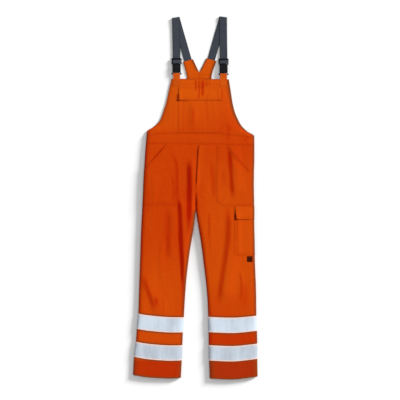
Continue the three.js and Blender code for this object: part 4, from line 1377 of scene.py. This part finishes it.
def wrapped(name, low, high, edge, base, lines, form, tone, rests_on, shaded):
    """A patch that goes round the right leg's side seam on to the back; form lifts its front half."""
    around, front, back = Around("right"), FRONTS["right"], BACKS["right"]
    y = cells(low, high, 3.0)
    u_front, u_back = [panel.locate(edge(y), y)[0][:, None] for panel in (front, back)]
    s = np.linspace(0, 1, 40)[None]
    w = np.concatenate([mix(u_front, 1.0, s), 2 - mix(1.0, u_back, s[:, 1:])], 1)
    u = around.share(w)
    level = y[:, None] + 0 * w
    v = np.where(w <= 1, front.level_row(u, level), back.level_row(u, level))
    points, normals = around.sample(w, v)
    x, y = points[..., 0], points[..., 1]
    share = clamp((y - low) / (high - low))
    lift = base + smooth((1 - w) / 0.12) * form(x, y, share)
    lift = np.maximum(lift - 0.22 * closeness(points, lines, 2.5), base)
    lift = np.where(w > 1, base, lift)
    cloth(
        f"cloth_{name}", points, normals, lift, lift + FINE, TWILL, "twill", name, rests_on,
        front_tone_and_shade(x, y) + tone, lines, dark=front_painted_shadow(x, y) * (w <= 1) * shaded, rim=side_edge_shade(x, y),
    )
    seen = w[0] <= 1
    for line in lines:
        stitch_on_patch(front, line, points[:, seen], (lift + FINE)[:, seen], "twill")


def make_cargo_pocket():
    edge = straight([(177, -263), (181, -48)])
    box_side = [(178, -262), (182, -50)]
    lines = [
        inset_line(box_side, -2.5), inset_line(box_side, -9), [(177, -260.5), (276, -260.5)],
        [(177, -254), (276, -254)], [(193, -262), (191, -100)],
    ]

    def form(x, y, share):
        outward = clamp((x - edge(y)) / (270 - edge(y)))
        puff = 2.6 * arch(share * 0.94 + 0.03, 0.6) * rounding(outward, 0.2, 1)
        pleat = -1.2 * bell(x - 191, 4) + 0.8 * bell(x - 198, 6)
        return puff + pleat * smooth((-60 - y) / 30)

    wrapped("cargo_pocket", -263, -48, edge, NEAR, lines, form, 0.10, ["front_leg_right"], True)


def make_cargo_flap():
    box_side = [(191, -97), (183, -41)]
    lines = [
        inset_line(box_side, -2.5), inset_line(box_side, -8.5), [(190, -95.5), (272, -95.5)],
        [(190, -89), (272, -89)], [(182, -42), (272, -42)],
    ]

    def form(x, y, share):
        corner = 5.2 * bell(x - 188, 13) * smooth((-y - 45) / 50)
        return 3.3 * (1 - share) ** 0.5 + corner + 0.3

    edge = straight([(190, -98), (182, -39)])
    wrapped("cargo_flap", -98, -39, edge, NEAR + FINE + NEAR, lines, form, 0.28, ["cargo_pocket"], False)


def make_bib_pocket():
    lines = [
        [(-76.5, 299), (-76.5, 502)], [(-56, 300), (-56, 452)], [(123.5, 298), (123.5, 502)],
        [(111, 300), (111, 452)], [(-79, 313), (126, 313)], [(-79, 301), (126, 300)],
    ]
    patch(
        "cloth_bib_pocket", "bib_pocket", BIB, 297.6, 503,
        straight([(-79, 298.5), (-79, 503)]), straight([(126.5, 296), (126, 503)]),
        lambda s, t, x, y: NEAR + 1.7 * arch(s, 0.6) * arch(t * 0.85 + 0.08, 0.7),
        lines=lines, rests_on=["bib_front"], tone=-0.06,
    )


def make_bib_flap():
    lines = [
        [(-76, 504.5), (123.5, 504.5)], [(-75, 498), (123, 498)], [(-74, 451), (122, 451)],
        [(-74, 457.5), (122, 457.5)], [(-71.5, 448), (-73.5, 507)], [(119.5, 448), (121, 507)],
    ]

    def lift(s, t, x, y):
        hang = 0.3 + 1.5 * arch(s, 0.5) * (1 - t) ** 0.5
        corners = 3.2 * bell(x + 74, 16) * (1 - t) ** 1.2 + 1.4 * bell(x - 122, 14) * (1 - t)
        return NEAR + FINE + NEAR + hang + corners

    patch(
        "cloth_bib_pocket_flap", "bib_pocket_flap", BIB, 448, 507,
        straight([(-74, 448), (-76, 507)]), straight([(122, 448), (123.5, 507)]),
        lift, lines=lines, rests_on=["bib_pocket"], tone=0.12,
    )


def make_pen_slot():
    patch(
        "cloth_pen_slot", "pen_slot", BIB, 508.5, 543,
        straight([(2, 508.5), (2, 543)]), straight([(42, 508.5), (42, 543)]),
        lambda s, t, x, y: NEAR + 0.5 * arch(s) * (1 - t * 0.5),
        lines=[[(x, 509), (x, 542)] for x in (4, 12, 29, 40)], rests_on=["bib_front"], tone=-0.1, step=2.0,
    )


def make_label():
    line = [(238.5, -292.5), (260.5, -292.5), (260.5, -269.5), (238.5, -269.5), (238.5, -292.5)]
    patch(
        "cloth_label_tab", "label_tab", FRONTS["right"], -294, -268,
        straight([(237, -294), (237, -268)]), straight([(262, -294), (262, -268)]),
        lambda s, t, x, y: NEAR + 0.25 * bell(s - 0.5, 0.4), 0.8, 1.5,
        lines=[line], material=LABEL, slot="label", rests_on=["front_leg_right"], thread_kind="label",
    )


# ---------- straps, tabs and buckles ----------
FRONT_RUN = [(15, 4.1), (40, 3.3), (90, 3)]
SLIDER_PATH = [
    (-20, -1.9), (0, -1.75), (6.3, -1.7), (8, -1.2), (15.3, 1.9), (17.1, 2.4), (20.3, 2.4), (22.7, 1.4),
    (23.7, -0.7), (22.7, -2.9), (20.3, -3.8), (-18, -3.8),
]
BAND_STEP = 2.2
TAB_WIDTH = 31
TAB_SEWN = [512, 528, 543]
TAB_LIFT = GAP + FINE / 2 + 0.3
TAB_LOOP = [
    (86, 1.4), (76.5, 2.3), (71.7, 2.35), (70.1, 1.7), (69.3, 0), (70.1, -1.7), (71.7, -2.35), (78.5, -2.4),
    (90, -2.4),
]


def band_stations(edges, step):
    """Left and right edge points and normals of a band, resampled with smooth normals."""
    left, right, normal = [np.array([row[k] for row in edges], float) for k in range(3)]
    lengths = lengths_along((left + right) / 2)
    places = [lengths[0]]
    for start, end in zip(lengths[:-1], lengths[1:]):
        places.extend(cells(start, end, step)[1:])
    places = np.array(places)
    left, right, normal = [at_lengths(rows, lengths, places) for rows in (left, right, normal)]
    return left, right, unit(normal), places


def band(name, node_name, edges, thick, material, slot, rests_on, lanes, tone, lines=(), flat=None,
         swell=0.0, edge_shade=0.0):
    """A strap or tab with slightly rounded edges, through stations of its two edges."""
    left, right, normal, places = band_stations(edges, BAND_STEP)
    s = np.linspace(0, 1, lanes)
    points = mix(left[:, None], right[:, None], s[None, :, None])
    normals = np.repeat(normal[:, None], lanes, 1)
    width = np.linalg.norm(right - left, axis=1).mean()
    half = thick / 2 * (0.62 + 0.38 * rounding(np.minimum(s, 1 - s), 1.6 / width)) + swell
    half = np.broadcast_to(half, points.shape[:2])
    uv = np.stack(np.broadcast_arrays(s[None] * width, places[:, None]), -1)
    tone = tone - edge_shade * bell(np.minimum(s, 1 - s)[None] * width, 2.6)
    cloth(
        name, points, normals, -half, half, material, slot, node_name, rests_on, tone, lines, flat, uv
    )


def smooth_path(points, step=0.7):
    """A finer path through points, rounded by a centripetal curve."""
    points = np.asarray(points, float)
    ends = np.vstack([2 * points[0] - points[1], points, 2 * points[-1] - points[-2]])
    fine = [points[0]]
    for before, start, end, after in zip(ends[:-3], ends[1:-2], ends[2:-1], ends[3:]):
        knots = np.cumsum([0.0] + [max(np.linalg.norm(b - a), 1e-6) ** 0.5 for a, b in
                                   ((before, start), (start, end), (end, after))])
        count = max(int(np.linalg.norm(end - start) / step), 1)
        for t in np.linspace(knots[1], knots[2], count + 1)[1:]:
            a1 = mix(before, start, (t - knots[0]) / (knots[1] - knots[0]))
            a2 = mix(start, end, (t - knots[1]) / (knots[2] - knots[1]))
            a3 = mix(end, after, (t - knots[2]) / (knots[3] - knots[2]))
            b1 = mix(a1, a2, (t - knots[0]) / (knots[2] - knots[0]))
            b2 = mix(a2, a3, (t - knots[1]) / (knots[3] - knots[1]))
            fine.append(mix(b1, b2, (t - knots[1]) / (knots[2] - knots[1])))
    return np.array(fine)


def upright_stations(x, path, width):
    """Edges of a strip that runs in the plane of Y and Z at one X."""
    path = smooth_path(path)
    step = unit(np.gradient(path, axis=0))
    rows = []
    for (y, z), (dy, dz) in zip(path, step):
        rows.append(((x - width / 2, y, z), (x + width / 2, y, z), (0, -dz, dy)))
    return rows


def strap_stations(buckle, top, fold, arm):
    """A strap from inside the yoke's arm over its fold and down to the bars of the slider."""
    fold, arm, slide = np.array([*fold, 0.0]), np.array([*arm, 0.0]), np.array([buckle, top, 0.0])
    up = np.array([0, 0, 1.0])
    upward, downward = unit(fold - arm), unit(slide - fold)
    past = unit(upward - downward)
    crease = np.array([past[1], -past[0], 0])
    axis = fold - past * (FOLD_RADIUS + STRAP / 2)
    half, lying = STRAP_WIDTH / 2, STRAP / 2
    across_up = np.array([upward[1], -upward[0], 0])
    slanted = crease / (crease @ across_up) * half
    across_up = across_up * half
    across_down = np.array([-downward[1], downward[0], 0]) * half
    start = arm + upward * GAP + up * lying
    rows = [(start - across_up, start + across_up, up)]
    for angle in np.linspace(0, np.pi, 15):
        rise = lying + FOLD_RADIUS * (1 - np.cos(angle))
        middle = axis + past * FOLD_RADIUS * np.sin(angle) + up * rise
        normal = up * np.cos(angle) - past * np.sin(angle)
        rows.append((middle - slanted, middle + slanted, normal))
    for down, z in FRONT_RUN:
        middle = axis + downward * down + up * z
        rows.append((middle - across_down, middle + across_down, -up))
    gripped = [(top - place, BUCKLE_Z + z) for place, z in SLIDER_PATH]
    return rows + upright_stations(buckle, gripped, STRAP_WIDTH)


def make_straps():
    for side, strap in STRAPS.items():
        rows = strap_stations(**strap)
        middles = np.array([np.add(left, right) / 2 for left, right, _ in rows])
        size = (STRAP_WIDTH * MM, lengths_along(middles)[-1] * MM)
        band(
            f"webbing_{side}", f"strap_{side}", rows, STRAP, WEBBING, "webbing", [f"strap_{side}"], 23,
            0.33 if side == "left" else 0.25, flat=(size, size[0] * size[1]), edge_shade=1.0,
        )


def make_tabs():
    for side, strap in STRAPS.items():
        buckle, top = strap["buckle"], strap["top"]
        rows = []
        for y in np.linspace(TAB_SEWN[0], TAB_SEWN[-1], 9):
            ends = np.array([[buckle - TAB_WIDTH / 2, y], [buckle + TAB_WIDTH / 2, y]])
            seam, top_edge = bib_seam(ends[:, 0]), bib_top(ends[:, 0])
            v = np.minimum((y - seam) / (top_edge - seam), 1)
            z = BIB.height(ends[:, 0], y + np.zeros(2), v)
            left, right = np.array([*ends[0], z[0]]), np.array([*ends[1], z[1]])
            normal = unit(np.array([left[2] - right[2], 0, right[0] - left[0]]))
            rows.append((left + normal * TAB_LIFT, right + normal * TAB_LIFT, normal))
        loop = [(top - place, BUCKLE_Z + z) for place, z in TAB_LOOP]
        rows += upright_stations(buckle, loop, TAB_WIDTH)
        left, right = buckle - TAB_WIDTH / 2 + 3, buckle + TAB_WIDTH / 2 - 3
        low, high = TAB_SEWN[0] + 3, 541
        box = [(left, low), (right, low), (right, high), (left, high), (left, low)]
        cross = [[(left, low), (right, high)], [(right, low), (left, high)]]
        edges = [[(left, high), (left, 570)], [(right, high), (right, 570)]]
        lines = [box, *cross, *edges]
        band(
            f"cloth_tab_{side}", f"tab_{side}", rows, FINE, WORN, "twill", ["bib_front"], 15, 0.6, lines,
            swell=0.1,
        )
        for line in (box, *cross):
            tab_stitches(line, rows)


def tab_stitches(line, rows):
    """Stitches on the sewn end of a tab, at the height of its upper face."""
    line = evenly(line, 60)
    ys = np.array([row[0][1] for row in rows[:9]])
    left = np.array([row[0] for row in rows[:9]])
    right = np.array([row[1] for row in rows[:9]])
    place = lambda at, k: np.interp(at[:, 1], ys, mix(left[:, k], right[:, k], 0.5))
    tilt = (right[0, 2] - left[0, 2]) / TAB_WIDTH
    centre = (left[0, 0] + right[0, 0]) / 2
    z = place(line, 2) + (line[:, 0] - centre) * tilt + FINE / 2 + 0.12
    path = np.column_stack([line, z])
    sew("twill", path, lambda middle: np.tile([0.0, 0.0, 1.0], (len(middle), 1)))


def rounded_edges(mesh):
    """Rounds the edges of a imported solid's mesh as moulded ones are."""
    shape = bmesh.new()
    shape.from_mesh(mesh)
    bmesh.ops.remove_doubles(shape, verts=shape.verts, dist=0.02 * MM)
    bmesh.ops.dissolve_limit(
        shape, angle_limit=math.radians(2), verts=shape.verts, edges=shape.edges,
        use_dissolve_boundaries=False,
    )
    shut = [edge for edge in shape.edges if len(edge.link_faces) == 2]
    sharp = [edge for edge in shut if edge.calc_face_angle(0) > math.radians(25)]
    bmesh.ops.bevel(
        shape, geom=sharp, offset=0.32 * MM, segments=2, profile=0.5, affect="EDGES", clamp_overlap=True
    )
    bmesh.ops.triangulate(shape, faces=[face for face in shape.faces if len(face.verts) > 4])
    shape.to_mesh(mesh)
    shape.free()


def make_buckles():
    for side in STRAPS:
        for part in ("slider", "socket"):
            name = f"buckle_{part}_{side}"
            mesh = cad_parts[name].data.copy()
            rounded_edges(mesh)
            mesh.materials.clear()
            mesh.materials.append(PLASTIC)
            mesh.polygons.foreach_set("use_smooth", np.ones(len(mesh.polygons), bool))
            mesh.set_sharp_from_angle(angle=math.radians(32))
            piece = bpy.data.objects.new(f"moulded_{part}_{side}", mesh)
            bpy.context.scene.collection.objects.link(piece)
            seat(piece, "buckle", name)


# ---------- stage, light and camera ----------


def make_stage():
    half = 6.0
    corners = [(-half, -half, 0), (half, -half, 0), (half, half, 0), (-half, half, 0)]
    floor = bpy.data.meshes.new("floor")
    floor.from_pydata(corners, [], [(0, 1, 2, 3)])
    paper = {"Base Color": (0.84, 0.84, 0.84, 1), "Roughness": 1.0, "Specular IOR Level": 0.0}
    floor.materials.append(Surface("floor").coat(paper))
    stage = bpy.data.objects.new("floor", floor)
    stage.location = (0, 0, -0.0004)
    bpy.context.scene.collection.objects.link(stage)
    stage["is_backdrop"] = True
    return stage


FILL_STRENGTH = 0.62
# The key lights the garment; the sweep lights the floor, low, for its long shadow.
KEY = dict(energy=3.5, elevation=36, bearing=34, softness=20)
SWEEP = dict(energy=7.9, elevation=14, bearing=33, softness=13)


def sun(name, energy, elevation, bearing, softness, floor, floor_state):
    """A wide sun from the right and above that lights all but the floor, or nothing but the floor."""
    light = bpy.data.lights.new(name, "SUN")
    light.energy, light.angle = energy, math.radians(softness)
    lamp = bpy.data.objects.new(name, light)
    lamp.rotation_euler = (0, math.radians(90 - elevation), math.radians(bearing))
    bpy.context.scene.collection.objects.link(lamp)
    receivers = bpy.data.collections.new(f"{name}_receivers")
    receivers.objects.link(floor)
    lamp.light_linking.receiver_collection = receivers
    receivers.collection_objects[0].light_linking.link_state = floor_state


def make_lights(floor):
    world = bpy.data.worlds.new("studio")
    world.use_nodes = True
    background = world.node_tree.nodes["Background"]
    background.inputs["Color"].default_value = (1.0, 1.0, 1.0, 1)
    background.inputs["Strength"].default_value = FILL_STRENGTH
    bpy.context.scene.world = world
    sun("key", floor=floor, floor_state="EXCLUDE", **KEY)
    sun("sweep", floor=floor, floor_state="INCLUDE", **SWEEP)


FIELD, SENSOR, LENS = 1.836, 36.0, 85.0  # metres across at the garment, and the camera's millimetres
CENTRE = (0.0216, -0.0104)


def make_camera():
    """Straight above the garment, as far away as the lens needs to see its whole length."""
    data = bpy.data.cameras.new("camera")
    data.lens, data.sensor_width = LENS, SENSOR
    camera = bpy.data.objects.new("camera", data)
    camera.location = (*CENTRE, 0.004 + FIELD * LENS / SENSOR)
    bpy.context.scene.collection.objects.link(camera)
    bpy.context.scene.camera = camera


make_camera()
make_lights(make_stage())
make_legs()
make_waistbands()
make_bib()
make_yokes()
make_hip_pocket_left()
make_hip_pocket_right()
make_fly()
make_cargo_pocket()
make_cargo_flap()
make_bib_pocket()
make_bib_flap()
make_pen_slot()
make_label()
make_straps()
make_tabs()
make_buckles()
finish_stitches({
    "twill": (THREAD, "twill"),
    "tape": (PALE_THREAD, "reflective"),
    "label": (DARK_THREAD, "label"),
})

bpy.context.scene.view_settings.view_transform = "Standard"
plain = lambda box: [[float(value) for value in corner] for corner in box]
{"cad": plain(CAD_BOX), "visual": plain(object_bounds())}
